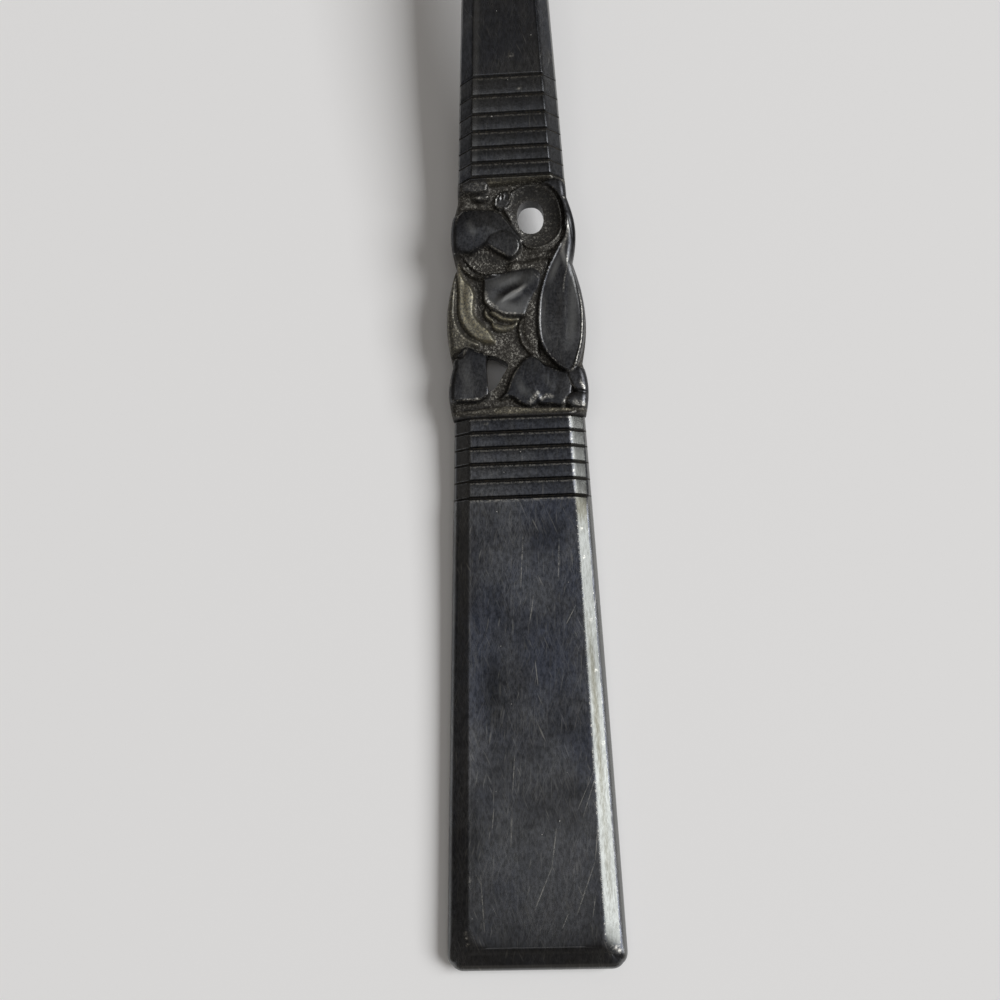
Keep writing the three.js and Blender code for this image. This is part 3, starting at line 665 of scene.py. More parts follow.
# ridges and creases: line, half its width and how high it stands (below 0 for a crease)
lines = [
    # under the eye: a rim and a crease
    ([(1.1, 14.95), (2.2, 14.85), (3.2, 15.1), (4.1, 15.75), (4.65, 16.7), (4.8, 17.8)], 0.45, 0.2),
    ([(2.3, 14.6), (3.35, 14.85), (4, 15.25), (4.45, 15.75)], 0.16, -0.14),
    # under the bud: a crease and a ridge
    ([(-5, 15), (-4.5, 14.15), (-3.86, 13.4), (-3.2, 12.98), (-2.45, 12.83), (-1.5, 12.94)], 0.14, -0.2),
    ([(-5.2, 14.5), (-4.7, 13.7), (-4.05, 13), (-3.3, 12.66), (-2.46, 12.58), (-1.5, 12.75)], 0.26, 0.34),
    # the petal's fold and the hollow beside it
    ([(-1.6, 9.9), (-1.1, 10.5), (-0.3, 10.95), (0.5, 11.3), (1, 11.7), (1.2, 12.3)], 0.6, 0.05),
    ([(-2.1, 10.3), (-1.6, 11), (-0.7, 11.55), (0.1, 12), (0.5, 12.5)], 0.6, -0.05),
    # the long leaf's middle and its two edges
    ([(4.8, 15), (4.84, 14), (4.78, 12.8), (4.5, 11.8), (4.34, 10.6), (4.3, 9.5), (4.2, 7.8), (4.3, 6)],
     0.55, 0.06),
    ([(4.5, 15.6), (4.1, 14.9), (3.55, 13.9), (3, 12.8), (2.6, 11.7), (2.3, 10.5), (2.15, 9.2), (2.1, 8),
      (2.2, 6.9), (2.5, 6), (3.1, 5.1), (3.9, 4.35), (4.5, 4)], 0.2, 0.12),
    ([(4.76, 3.85), (5.11, 4.2), (5.48, 5.18), (5.88, 6.66), (6.02, 8.3), (6, 9.6), (5.8, 10.9),
      (5.7, 11.6), (5.45, 12.6), (5.1, 13.4)], 0.2, 0.12),
    # edge of the hollow beside the long leaf
    ([(0.63, 9), (0.4, 8.46), (0.28, 7.63), (0.46, 6.79), (0.9, 6.1), (1.42, 5.45)], 0.2, 0.2),
    # rims and stripes of the small striped leaf
    ([(-1.5, 18.7), (-1.53, 19.41), (-1.26, 19.9), (-0.75, 20.3)], 0.16, 0.24),
    ([(-0.3, 20.3), (-0.12, 19.8), (-0.2, 19.2)], 0.16, 0.24),
    ([(-1, 20.05), (-1.1, 19.3)], 0.11, 0.14),
    ([(-0.65, 20.2), (-0.8, 19.3)], 0.11, 0.14),
    # the bud's swell and the edge of its tip
    ([(-4.2, 17.9), (-3.7, 17.2), (-3.2, 16.4), (-2.9, 15.8)], 0.9, 0.03),
    ([(-2.3, 15.6), (-1.9, 15.1), (-1.1, 14.65), (-0.5, 14.25)], 0.18, 0.08),
    # the lower leaves: edge and swell of the middle one, the right one's hollow, the middle one's foot
    ([(2.62, 4.3), (2.62, 3.1), (2.3, 2)], 0.16, 0.06),
    ([(0.7, 4.6), (0.9, 3.4), (1, 2.2)], 0.8, 0.03),
    ([(3.6, 3.6), (3.5, 2.6), (3.2, 1.8)], 0.5, -0.06),
    ([(1.2, 2.6), (1.6, 1.9), (2, 1.3)], 0.4, 0.1),
    # the ribbon's hollow and the ridge left of it
    ([(-4.6, 13), (-4.7, 11.6), (-4.75, 10.2), (-4.5, 9), (-3.9, 8.1), (-3.2, 7.6)], 0.5, -0.1),
    ([(-5.75, 9.2), (-5.5, 8.1), (-4.95, 7.3), (-4.24, 6.85), (-3.48, 6.6)], 0.3, 0.06),
    # crease in the lower left leaf
    ([(-6.2, 5.75), (-5.2, 5.6), (-4.9, 5.9)], 0.3, -0.25),
]

# painted highlights, soft pale patches where faces catch the light: line, half its width and how pale
paintedHighlights = [
    ([(-2.2, 10.8), (-1, 9.9), (0.2, 9.6), (1, 10.1)], 1, 0.5),
    ([(-1.6, 9.9), (-0.9, 10.5), (-0.2, 10.95), (0.5, 11.3), (1.2, 11.9)], 0.3, 1.5),
    ([(-0.8, 10.5), (0.4, 11.1)], 0.45, 0.9),
    ([(-2.4, 11.8), (-0.6, 12.2), (1.4, 12.4)], 0.9, 0.42),
    ([(5.15, 14.6), (5.4, 12.6), (5.3, 10.6), (5.1, 8.2), (4.8, 6)], 0.7, 0.34),
    ([(4.7, 16.2), (4.5, 14.4), (4.8, 13)], 0.35, 1),
    ([(4.3, 14.4), (3.7, 13), (3.1, 11.6)], 0.45, 0.5),
    ([(2.9, 11.4), (2.5, 9.6), (2.5, 7.6), (3, 6)], 0.35, 0.2),
    ([(5.1, 17.8), (5.05, 16.4), (4.8, 15)], 0.3, 0.65),
    ([(-3.9, 17.3), (-3.6, 16.7)], 0.6, 0.25),
    ([(-4.8, 5), (-4.6, 3.6), (-4.6, 2.4)], 0.8, 0.22),
    ([(-5.4, 10), (-5.2, 8.6), (-4.4, 7.4)], 0.7, 0.4),
    ([(0, 3.3), (0.4, 2.4), (1, 2)], 0.6, 0.25),
    ([(2.4, 3.4), (3.2, 2.4)], 0.5, 0.16),
    ([(1.2, 15.8), (2.4, 15.4), (3.6, 16), (4.1, 17)], 0.8, 0.2),
]

# painted shade, also laid over highlights that it dims: line, half its width and how dark
paintedShades = [
    ([(-0.2, 19.4), (1.4, 20.1), (3, 19.7), (3.9, 18.4), (4, 17)], 1.1, 0.6),
    ([(-4.4, 14.5), (-3.2, 14.7), (-2, 14.2), (-0.9, 13.9)], 0.7, 0.5),
    ([(-3.5, 12.6), (-3.4, 11.2), (-3.3, 10)], 0.55, 0.6),
    ([(-5.8, 1), (-4.6, 1), (-3, 1.1), (-2.4, 1.3)], 0.35, 0.6),
    ([(-0.2, 7.4), (0.2, 6.4), (0.6, 5.6)], 0.5, 0.4),
    ([(5, 20.4), (5.5, 18.6), (5.6, 16.8), (5.6, 15.2), (5.5, 14)], 0.65, 0.85),
    ([(3.1, 13.8), (2.3, 11.6), (1.9, 9.4), (1.9, 7.4), (2.2, 6)], 0.34, 0.65),
]

# edges that handling has rubbed bright: line, half its width and how bright
glints = [
    ([(-2.65, 11.1), (-2.6, 10.6), (-2.25, 10.1), (-1.6, 9.65)], 0.22, 1),
    ([(-1.9, 9.75), (-1.2, 9.35), (-0.8, 9.25), (0, 9.2), (0.6, 9.2)], 0.09, 0.9),
    ([(-0.3, 10.97), (0.4, 11.25), (0.9, 11.6)], 0.14, 0.5),
    ([(0.66, 9), (0.42, 8.46), (0.3, 7.63), (0.48, 6.79), (0.92, 6.1), (1.4, 5.5)], 0.08, 1),
    ([(2.3, 10.8), (2.15, 9.8), (2.06, 8.6), (2.06, 7.4), (2.2, 6.6)], 0.16, 0.34),
    ([(5.78, 10.9), (6, 9.6), (6, 8.3), (5.86, 6.66), (5.46, 5.2), (5.1, 4.2), (4.76, 3.86), (4.35, 3.95)],
     0.07, 0.85),
    ([(5.05, 17.5), (5.02, 16.6), (4.85, 15.8), (4.55, 14.9), (4.2, 14.1)], 0.12, 0.7),
    ([(4.65, 15.9), (4.2, 15.2), (3.6, 14.2), (3.05, 13.08), (2.6, 11.94), (2.24, 10.72)], 0.07, 0.35),
    ([(4.83, 14.5), (4.84, 13.6), (4.77, 12.8), (4.5, 11.8), (4.38, 10.6)], 0.07, 0.55),
    ([(-5.15, 17.4), (-4.98, 18.1), (-4.55, 18.55)], 0.1, 0.85),
    ([(-3.5, 18.6), (-3.1, 18.66)], 0.09, 0.6),
    ([(-4.4, 18.66), (-3.3, 18.7), (-2.4, 18.6)], 0.06, 0.4),
    ([(-2.3, 15.5), (-1.7, 15), (-1.1, 14.62), (-0.5, 14.22)], 0.08, 0.6),
    ([(0.45, 15.3), (0.35, 14.8), (0, 14.35)], 0.1, 0.35),
    ([(-1.55, 18.9), (-1.53, 19.41), (-1.26, 19.9), (-0.75, 20.28)], 0.08, 1),
    ([(-0.3, 20.28), (-0.12, 19.8), (-0.14, 19.35)], 0.08, 1),
    ([(-3.4, 19.75), (-3, 19.75), (-2.7, 19.8)], 0.12, 0.7),
    ([(-3.25, 21.2), (-2.9, 20.6)], 0.12, 0.4),
    ([(2.7, 14.78), (3.35, 15), (3.94, 15.35), (4.42, 15.85)], 0.06, 0.55),
    ([(1.8, 14.95), (3.2, 15.25), (4, 15.85), (4.5, 16.7)], 0.18, 0.25),
    ([(4.78, 19.4), (4.84, 19.42)], 0.1, 1),
    ([(-5.3, 1.75), (-4.7, 1.68), (-4.2, 1.72)], 0.1, 1),
    ([(-4, 1.7), (-3.4, 1.75)], 0.1, 1),
    ([(-6.1, 3.6), (-6.15, 2.9)], 0.1, 0.5),
    ([(-4.45, 6.4), (-4.75, 5.9), (-4.85, 5.5)], 0.11, 0.7),
    ([(0.4, 4.75), (-0.25, 3.9), (-0.62, 3.15), (-0.92, 2.4), (-1.3, 1.95)], 0.08, 0.6),
    ([(-2.1, 1.25), (-1.3, 1.6), (-0.6, 1.75)], 0.1, 0.5),
    ([(0.95, 1.2), (1.3, 1.5), (1.75, 2)], 0.2, 1),
    ([(2.1, 1.5), (2.5, 1.75), (3, 1.7)], 0.18, 0.9),
    ([(4, 0.98), (4.15, 1.25), (4.35, 1.5)], 0.14, 1),
    ([(5.1, 1.1), (5.45, 0.95), (5.8, 0.9)], 0.24, 1),
    ([(5.6, 2.95), (5.75, 2.6), (5.9, 2.35)], 0.14, 1),
    ([(4.62, 3.5), (4.76, 2.85), (5.25, 2.25)], 0.06, 0.5),
    ([(-2.76, 9.66), (-2.69, 9.24), (-2.45, 8.89), (-2.04, 8.6)], 0.07, 0.6),
    ([(-1.93, 9.25), (-1.26, 8.88), (-0.5, 8.74), (0.19, 8.8)], 0.07, 0.5),
    ([(-2.98, 8.53), (-2.31, 8.29), (-1.64, 8.01), (-1.05, 7.75)], 0.1, 0.5),
    ([(-1.28, 8.25), (-0.43, 8.26), (0, 8.6)], 0.08, 0.4),
    ([(-3.3, 6.93), (-2.7, 6.84), (-2, 6.86)], 0.07, 0.8),
    ([(-5.6, 8.61), (-5.48, 8.02), (-4.9, 7.32), (-4.24, 6.88), (-3.48, 6.62)], 0.12, 0.35),
    ([(1.75, 12.7), (2.1, 12.4), (2.25, 12.1)], 0.06, 0.4),
    ([(0.35, 5.6), (0.7, 5.35)], 0.09, 0.7),
    ([(-5.15, 13.9), (-4.95, 13.2), (-4.75, 12.6)], 0.12, 0.35),
]


def curveThrough(points, closed, pieces=7):
    # a smooth line through the points
    points = np.array(points, float)
    count = len(points)
    last = count if closed else count - 1
    share = np.linspace(0, 1, pieces, endpoint=False)[:, None]
    parts = []
    for i in range(last):
        if closed:
            a, b, c, d = (points[(i + k) % count] for k in (-1, 0, 1, 2))
        else:
            b, c = points[i], points[i + 1]
            a = points[i - 1] if i > 0 else 2 * b - c
            d = points[i + 2] if i + 2 < count else 2 * c - b
        parts.append(0.5 * (2 * b + (c - a) * share + (2 * a - 5 * b + 4 * c - d) * share**2
                            + (3 * b - a - 3 * c + d) * share**3))
    line = np.concatenate(parts)
    return np.concatenate([line, points[:1] if closed else points[-1:]])


def nearestOnLine(spots, line):
    # distance from each spot to the line, and the nearest place on it
    start, run = line[:-1], np.diff(line, axis=0)
    offset = spots[:, None, :] - start[None]
    share = np.clip((offset * run).sum(2) / np.maximum((run**2).sum(1), 1e-12), 0, 1)
    place = start[None] + run[None] * share[..., None]
    away = np.linalg.norm(spots[:, None, :] - place, axis=2)
    nearest = away.argmin(axis=1)
    rows = np.arange(len(spots))
    return away[rows, nearest], place[rows, nearest]


def insideLine(spots, line):
    x, y = spots[:, :1], spots[:, 1:]
    x0, y0, x1, y1 = line[:-1, 0], line[:-1, 1], line[1:, 0], line[1:, 1]
    crosses = (y0 > y) != (y1 > y)
    rise = np.where(y1 == y0, 1e-12, y1 - y0)
    return (crosses & (x < x0 + (x1 - x0) * (y - y0) / rise)).sum(axis=1) % 2 == 1


def depthInside(spots, line, margin):
    # how far each spot lies inside a closed line (less than 0 outside), found near the line only
    result = np.full(len(spots), -margin)
    low, high = line.min(axis=0) - margin, line.max(axis=0) + margin
    near = ((spots > low) & (spots < high)).all(axis=1)
    away, _ = nearestOnLine(spots[near], line)
    result[near] = np.where(insideLine(spots[near], line), away, -away)
    return result


def nearLine(spots, points, half, taper=0.8):
    # 1 on the line, falling to 0 at half and fading towards its ends
    line = curveThrough(points, False)
    result = np.zeros(len(spots))
    low, high = line.min(axis=0) - half, line.max(axis=0) + half
    near = ((spots > low) & (spots < high)).all(axis=1)
    away, _ = nearestOnLine(spots[near], line)
    toEnd = np.minimum(*(np.hypot(*(spots[near] - end).T) for end in (line[0], line[-1])))
    taper = min(taper, np.hypot(*(line[0] - line[-1])) / 2)
    result[near] = bell(away, half) * smoothStep(toEnd, -half, taper)
    return result


def strongestMark(spots, marks, widen=1, taper=0.8):
    # the strongest of the marks at each spot
    result = np.zeros(len(spots))
    for points, half, amount in marks:
        result = np.maximum(result, amount * nearLine(spots, points, half * widen, taper))
    return result


def grainField(spots, size, seed):
    # soft random bumps, about size across
    table = np.random.default_rng(seed).random((256, 256))
    at = spots / size + 100
    cell = np.floor(at).astype(int)
    share = at - cell
    share = share * share * (3 - 2 * share)
    i, j = cell[:, 0] % 256, cell[:, 1] % 256
    i1, j1 = (i + 1) % 256, (j + 1) % 256
    near = lerp(table[i, j], table[i1, j], share[:, 0])
    far = lerp(table[i, j1], table[i1, j1], share[:, 0])
    return lerp(near, far, share[:, 1]) * 2 - 1


def blurred(grid, times):
    for _ in range(times):
        padded = np.pad(grid, 1, mode="edge")
        grid = (padded[:-2, 1:-1] + padded[2:, 1:-1] + padded[1:-1, :-2] + padded[1:-1, 2:] + 4 * grid) / 8
    return grid


def panelHalf(y):
    swell = [
        out * np.cos(np.minimum(np.abs(y / stretch[1] - at) / reach, 1) * math.pi / 2)
        for at, reach, out in panel["lobes"]
    ]
    return halfWidth(panelAt + y) + np.max(swell, axis=0)


def carveForms(spots):
    # height above the ground, and where it is stippled, gilded and rubbed bright, and where painted
    # highlights and painted shade lie
    height = np.zeros(len(spots))
    grain = np.ones(len(spots))
    gilt = np.zeros(len(spots))
    for form in forms:
        deep = depthInside(spots, curveThrough(form["points"], True), 0.5)
        soft = form.get("soft", 0.16)
        rise = np.sqrt(1 - (1 - np.clip(deep / form["reach"], 0, 1)) ** 2)
        over = smoothStep(deep, -soft / 2, soft / 2)
        height = lerp(height, form["base"] + form["crown"] * rise, over)
        grain = lerp(grain, form.get("grain", 0), over)
        gilt = lerp(gilt, form.get("gilt", 0), over)
    for points, half, lift in lines:
        height += lift * nearLine(spots, points, half)
    rubbed = strongestMark(spots, glints, widen=panel["glintSpread"])
    pale = strongestMark(spots, paintedHighlights, taper=panel["sheenTaper"])
    paintedShade = strongestMark(spots, paintedShades)
    finer, lower = panel["fineGrain"]
    turned = spots @ np.array([[0.8, 0.6], [-0.6, 0.8]])
    coarse = grainField(spots, panel["grainSize"], 3)
    fine = grainField(turned, panel["grainSize"] * finer, 8)
    height += grain * panel["grainHeight"] * (coarse + lower * fine)
    return height, grain, gilt, rubbed, pale, paintedShade


def piercings():
    turn = np.linspace(0, 2 * math.pi, 97)
    circle = np.stack([np.cos(turn), np.sin(turn)], axis=1)
    circle = np.sign(circle) * np.abs(circle) ** panel["holeSquareness"]
    circle = circle * panel["holeHalf"] + panel["holeCentre"]
    gap = np.array(panel["gap"])
    rounded = np.stack([lerp(gap, np.roll(gap, -1, axis=0), share) for share in (0.2, 0.5, 0.8)], axis=1)
    return [circle * stretch, curveThrough(rounded.reshape(-1, 2), True) * stretch]


def panelGrid():
    # plan of the panel: rows along it, columns across it, snapped onto the piercings
    rows, columns = panel["rows"], panel["columns"]
    rowsAt = np.linspace(0, panelLength, rows + 1)
    angle = np.linspace(panel["columnSpread"], -panel["columnSpread"], columns + 1)
    x = panelHalf(rowsAt)[:, None] * np.sin(angle) / math.sin(panel["columnSpread"])
    y = np.repeat(rowsAt[:, None], columns + 1, axis=1)
    spots = np.stack([x, y], axis=2)
    middles = (spots[:-1, :-1] + spots[1:, :-1] + spots[:-1, 1:] + spots[1:, 1:]).reshape(-1, 2) / 4
    opened = np.zeros(rows * columns, bool)
    for line in piercings():
        inside = insideLine(middles, line)
        opened |= inside
        cells = np.pad(inside.reshape(rows, columns), 1)
        touching = np.stack([cells[:-1, :-1], cells[1:, :-1], cells[:-1, 1:], cells[1:, 1:]])
        edge = touching.any(axis=0) & ~touching.all(axis=0)
        spots[edge] = nearestOnLine(spots[edge], line)[1]
    return rowsAt, spots, opened.reshape(rows, columns)


def panelHeights(rowsAt, spots):
    along = panelAt + rowsAt
    half = panelHalf(rowsAt)
    x = np.abs(spots[..., 0])
    carving = carveForms(spots.reshape(-1, 2) / stretch)
    height, grain, gilt, rubbed, pale, paintedShade = (part.reshape(x.shape) for part in carving)
    top, under = topLine(along), topLine(along) - thickness(along)
    nearEdge = np.clip(1 - (half[:, None] - x) / panel["edgeRound"], 0, 1)
    roundOver = panel["edgeRound"] * (1 - np.sqrt(1 - nearEdge**2))
    carved = top[:, None] - panel["groundDepth"] + height - roundOver
    carved = np.maximum(carved, lerp(under, top, panel["lowestShare"])[:, None])
    fromEnd = np.minimum(rowsAt, rowsAt[-1] - rowsAt)
    blend = smoothStep(fromEnd, 0, panel["endBlend"])
    over, below = np.empty_like(carved), np.empty_like(carved)
    widestAt = handle["ridgePoints"] + handle["bevelPoints"] + handle["edgePoints"] - 3
    for row, position in enumerate(along):
        inset, levels, _ = sectionLevels(position)
        upper = np.interp(half[row] - x[row], inset[widestAt::-1], levels[widestAt::-1])
        over[row] = lerp(upper, carved[row], blend[row])
        widest = lerp(levels[widestAt], lerp(under[row], top[row], panel["widestShare"]), blend[row])
        away = np.clip(1 - (half[row] - x[row]) / handle["lowerEdgeWidth"], 0, 1)
        below[row] = widest - (widest - under[row]) * np.sqrt(1 - away**2)
    stands = (height - blurred(height, panel["blurRounds"])) / panel["standsOut"]
    low = np.clip(panel["dirtBelow"] - height, 0, panel["dirtBelow"])
    masks = {
        "wear": np.clip(stands, 0, 1) * (1 - grain * 0.5),
        "recess": np.clip(-stands, 0, 1) * 0.6 + low,
        "grain": grain * blend[:, None],
        "gilt": gilt,
        "rubbed": rubbed * blend[:, None],
        "sheen": pale,
        "dark": paintedShade,
    }
    return over, below, masks


def makePanel():
    rowsAt, spots, opened = panelGrid()
    over, below, masks = panelHeights(rowsAt, spots)
    rows, columns = opened.shape
    count = (rows + 1) * (columns + 1)
    topIndex = np.arange(count).reshape(rows + 1, columns + 1)
    plan = spots.reshape(-1, 2) + [0, panelAt]
    points = [np.column_stack([plan, over.ravel()]), np.column_stack([plan, below.ravel()])]
    cells = np.stack([topIndex[:-1, :-1], topIndex[:-1, 1:], topIndex[1:, 1:], topIndex[1:, :-1]], axis=-1)
    kept = cells[~opened]
    faces = [kept, kept[:, ::-1] + count]
    total = 2 * count

    def wall(edge, levels):
        # a strip down from a line of top points to the ones under them
        nonlocal total
        upper, lower = np.array(edge), np.array(edge) + count
        allPoints = np.concatenate(points)
        strips = [upper]
        for share in np.linspace(0, 1, levels + 1)[1:-1]:
            points.append(lerp(allPoints[upper], allPoints[lower], share))
            strips.append(total + np.arange(len(edge)))
            total += len(edge)
        strips.append(lower)
        for a, b in zip(strips[:-1], strips[1:]):
            faces.append(np.stack([a[:-1], b[:-1], b[1:], a[1:]], axis=1))

    wall(topIndex[:, 0], panel["sideSteps"])
    wall(topIndex[::-1, -1], panel["sideSteps"])
    for row in (topIndex[0, ::-1], topIndex[-1]):
        wall(row, 1)
    padded = np.pad(opened, 1)
    for down, across in ((1, 0), (0, 1)):
        before = padded[1 - down: 1 - down + rows + down, 1 - across: 1 - across + columns + across]
        after = padded[1: 1 + rows + down, 1: 1 + columns + across]
        for row, column in np.argwhere(before != after):
            a = topIndex[row, column]
            b = topIndex[row, column + 1] if down else topIndex[row + 1, column]
            faces.append(np.array([[a, b, b + count, a + count]]))
    allPoints = np.concatenate(points)
    everywhere = {}
    for name, values in masks.items():
        everywhere[name] = np.zeros(len(allPoints))
        everywhere[name][:count] = values.ravel()
    return makePiece("carvedPlate", "carved_panel", allPoints, np.concatenate(faces), everywhere, 62)


carvedPlate = makePanel()

# The bowl: flares out of the neck, swells to its widest and closes in a soft point

bowl = {
    "width": 30,
    "widestAt": 19.5,
    "heelLength": 9,
    "rimRound": 0.3,
    "stations": 150,
    "flareStart": 0.16,  # share of the way to the widest place
    "flare": [(0.41, 0.13), (0.61, 0.27)],  # shares of half the width and of the way to the widest place
    "shoulder": [(0.82, 0.42), (1, 0.67), (1, 1)],
    "tip": [(1, 0.42), (0.38, 0.94), (0, 1)],  # the second share is of the way on from there
}


def bezier(controls, share):
    a, b, c, d = (np.array(control, float) for control in controls)
    t = share[:, None]
    return (1 - t) ** 3 * a + 3 * (1 - t) ** 2 * t * b + 3 * (1 - t) * t**2 * c + t**3 * d


def bowlOutline():
    half, length = bowl["width"] / 2, overallLength - bowlAt
    neckHalf = handle["neckWidth"] / 2
    start = [(neckHalf, 0), (neckHalf, bowl["flareStart"] * bowl["widestAt"])]
    flare = [(x * half, y * bowl["widestAt"]) for x, y in bowl["flare"]]
    shoulder = [(x * half, y * bowl["widestAt"]) for x, y in bowl["shoulder"]]
    tip = [(x * half, lerp(bowl["widestAt"], length, y)) for x, y in bowl["tip"]]
    share = np.linspace(0, 1, 400)
    curve = np.concatenate([
        bezier([*start, *flare], share),
        bezier([flare[1], *shoulder], share)[1:],
        bezier([shoulder[2], *tip], share)[1:],
    ])
    walked = np.concatenate([[0], np.cumsum(np.hypot(*np.diff(curve, axis=0).T))])
    even = np.linspace(0, walked[-1], bowl["stations"] + 1)
    return np.interp(even, walked, curve[:, 0]), np.interp(even, walked, curve[:, 1])


def hollow(y):
    deepest, length = profile["bowlDeepestAt"], overallLength - bowlAt
    if y < deepest:
        return profile["bowlDepth"] * ease(y / deepest)
    return profile["bowlDepth"] * (1 - ((y - deepest) / (length - deepest)) ** 2)


def flatOrDished(share, flatEnd, dishHalf, edgeHeight, y, dish):
    flat = np.stack([share * flatEnd[0], np.full(len(share), flatEnd[1])], axis=1)
    dished = np.stack([share * dishHalf, edgeHeight - hollow(y) * (1 - share**2)], axis=1)
    return lerp(flat, dished, dish)


def bowlRing(half, y):
    # the handle's section at the neck, which turns into the dish within the heel
    along = bowlAt + y
    inset, height, wear = sectionLevels(along)
    neckRight = np.stack([np.maximum(half - inset, 0), height], axis=1)
    dish = ease(y / bowl["heelLength"])
    wall = lerp(profile["neckThickness"], profile["bowlWall"], dish)
    rim = min(bowl["rimRound"], half)
    top = topLine(along)
    turn = np.linspace(0, math.pi, len(inset))
    rimX = half - rim + rim * np.sin(turn)
    rimZ = top - wall / 2 + wall / 2 * np.cos(turn)
    right = lerp(neckRight, np.stack([rimX, rimZ], axis=1), dish)
    share = np.linspace(1, -1, handle["columns"] + 2)[1:-1]
    under = flatOrDished(share, neckRight[-1], half - rim, top - wall, y, dish)
    over = flatOrDished(-share, neckRight[0], half - rim, top, y, dish)
    left = right[::-1] * [-1, 1]
    ring = np.concatenate([right, under, left, over])
    wearRing = np.concatenate([wear, share * 0, wear[::-1], share * 0])
    return np.column_stack([ring[:, 0], np.full(len(ring), along), ring[:, 1], wearRing])


def makeBowl():
    rings = [bowlRing(half, y) for half, y in zip(*bowlOutline())]
    points, faces = loft(rings, closeLast=False)
    masks = {"wear": np.clip(points[:, 3], 0, 1)}
    return makePiece("bowlPlate", "bowl", points, faces, masks)


bowlPlate = makeBowl()

# Shader node helpers


def addNode(tree, kind, **settings):
    node = tree.nodes.new("ShaderNode" + kind)
    for name, value in settings.items():
        setattr(node, name, value)
    return node


def feed(tree, socket, value):
    # value is another node's output, or a number or colour
    if isinstance(value, bpy.types.NodeSocket):
        tree.links.new(value, socket)
    else:
        socket.default_value = value


def sums(tree, operation, *values, clamp=False):
    node = addNode(tree, "Math", operation=operation, use_clamp=clamp)
    for socket, value in zip(node.inputs, values):
        feed(tree, socket, value)
    return node.outputs[0]


def vectorSums(tree, operation, *values):
    node = addNode(tree, "VectorMath", operation=operation)
    for socket, value in zip(node.inputs, values):
        feed(tree, socket, value)
    return node.outputs["Value" if operation in ("DOT_PRODUCT", "LENGTH") else "Vector"]


def times(tree, a, b):
    return sums(tree, "MULTIPLY", a, b)


def combined(tree, *values):
    node = addNode(tree, "CombineXYZ")
    for socket, value in zip(node.inputs, values):
        feed(tree, socket, value)
    return node.outputs[0]


def scaled(tree, vector, factor):
    return vectorSums(tree, "MULTIPLY", vector, combined(tree, factor, factor, factor))


def greater(tree, *masks):
    result = masks[0]
    for mask in masks[1:]:
        result = sums(tree, "MAXIMUM", result, mask)
    return result


def attribute(tree, name):
    return addNode(tree, "Attribute", attribute_name=name).outputs["Fac"]


def ramp(tree, value, low, high, toLow=0, toHigh=1):
    node = addNode(tree, "MapRange", interpolation_type="SMOOTHSTEP")
    for name, setting in (("Value", value), ("From Min", low), ("From Max", high),
                          ("To Min", toLow), ("To Max", toHigh)):
        feed(tree, node.inputs[name], setting)
    return node.outputs["Result"]


def colourMix(tree, share, a, b, blend="MIX"):
    node = addNode(tree, "Mix", data_type="RGBA", blend_type=blend)
    feed(tree, node.inputs[0], share)
    feed(tree, node.inputs[6], a)
    feed(tree, node.inputs[7], b)
    return node.outputs[2]


def noise(tree, position, scale, detail=2, roughness=0.5, lacunarity=2, distortion=0):
    node = addNode(tree, "TexNoise")
    for name, value in (("Vector", position), ("Scale", scale), ("Detail", detail), ("Roughness", roughness),
                        ("Lacunarity", lacunarity), ("Distortion", distortion)):
        feed(tree, node.inputs[name], value)
    return node.outputs["Fac"]


def group(name, inputs, outputs):
    # a node group; inputs are name: (kind, starting value), outputs are name: kind
    tree = bpy.data.node_groups.new(name, "ShaderNodeTree")
    for inputName, (kind, start) in inputs.items():
        socket = tree.interface.new_socket(inputName, in_out="INPUT", socket_type="NodeSocket" + kind)
        if start is not None:
            socket.default_value = start
    for outputName, kind in outputs.items():
        tree.interface.new_socket(outputName, in_out="OUTPUT", socket_type="NodeSocket" + kind)
    return tree, tree.nodes.new("NodeGroupInput").outputs, tree.nodes.new("NodeGroupOutput").inputs


def place(tree, name, **values):
    # puts a group into a material; values are given by socket name with its spaces left out
    node = addNode(tree, "Group", node_tree=bpy.data.node_groups[name])
    for socket in node.inputs:
        key = socket.name.replace(" ", "")
        if key in values:
            feed(tree, socket, values[key])
    return node.outputs


# Effects that the plates share. Positions and sizes in them are in millimetres.


def buildTarnishCloud():
    # clouds of darker and lighter tarnish with a fine mottle in them
    tree, given, out = group(
        "tarnishCloud",
        {"Position": ("Vector", None), "Cloud Size": ("Float", 6), "Dark": ("Color", (0.05, 0.05, 0.055, 1)),
         "Light": ("Color", (0.08, 0.08, 0.09, 1)), "Tint": ("Color", (0.04, 0.045, 0.07, 1)),
         "Mottle": ("Float", 0.3), "Brushed": ("Float", 1)},
        {"Color": "Color", "Cloud": "Float"},
    )
    big = noise(tree, given["Position"], sums(tree, "DIVIDE", 1, given["Cloud Size"]), 3, 0.55)
    cloud = ramp(tree, big, 0.36, 0.64)
    colour = colourMix(tree, cloud, given["Dark"], given["Light"])
    shifted = vectorSums(tree, "MULTIPLY_ADD", given["Position"], (1, 0.6, 1), (31, 17, 0))
    tinted = ramp(tree, noise(tree, shifted, 0.16, 4, 0.65), 0.4, 0.66, 0, 0.8)
    colour = colourMix(tree, tinted, colour, given["Tint"])
    brushed = vectorSums(tree, "MULTIPLY", given["Position"], combined(tree, 1, given["Brushed"], 1))
    fine = ramp(tree, noise(tree, brushed, 3.4, 4, 0.75), 0.32, 0.68, -0.6, 0.6)
    lighter = sums(tree, "MULTIPLY_ADD", fine, given["Mottle"], 1)
    feed(tree, out["Color"], scaled(tree, colour, lighter))
    feed(tree, out["Cloud"], cloud)


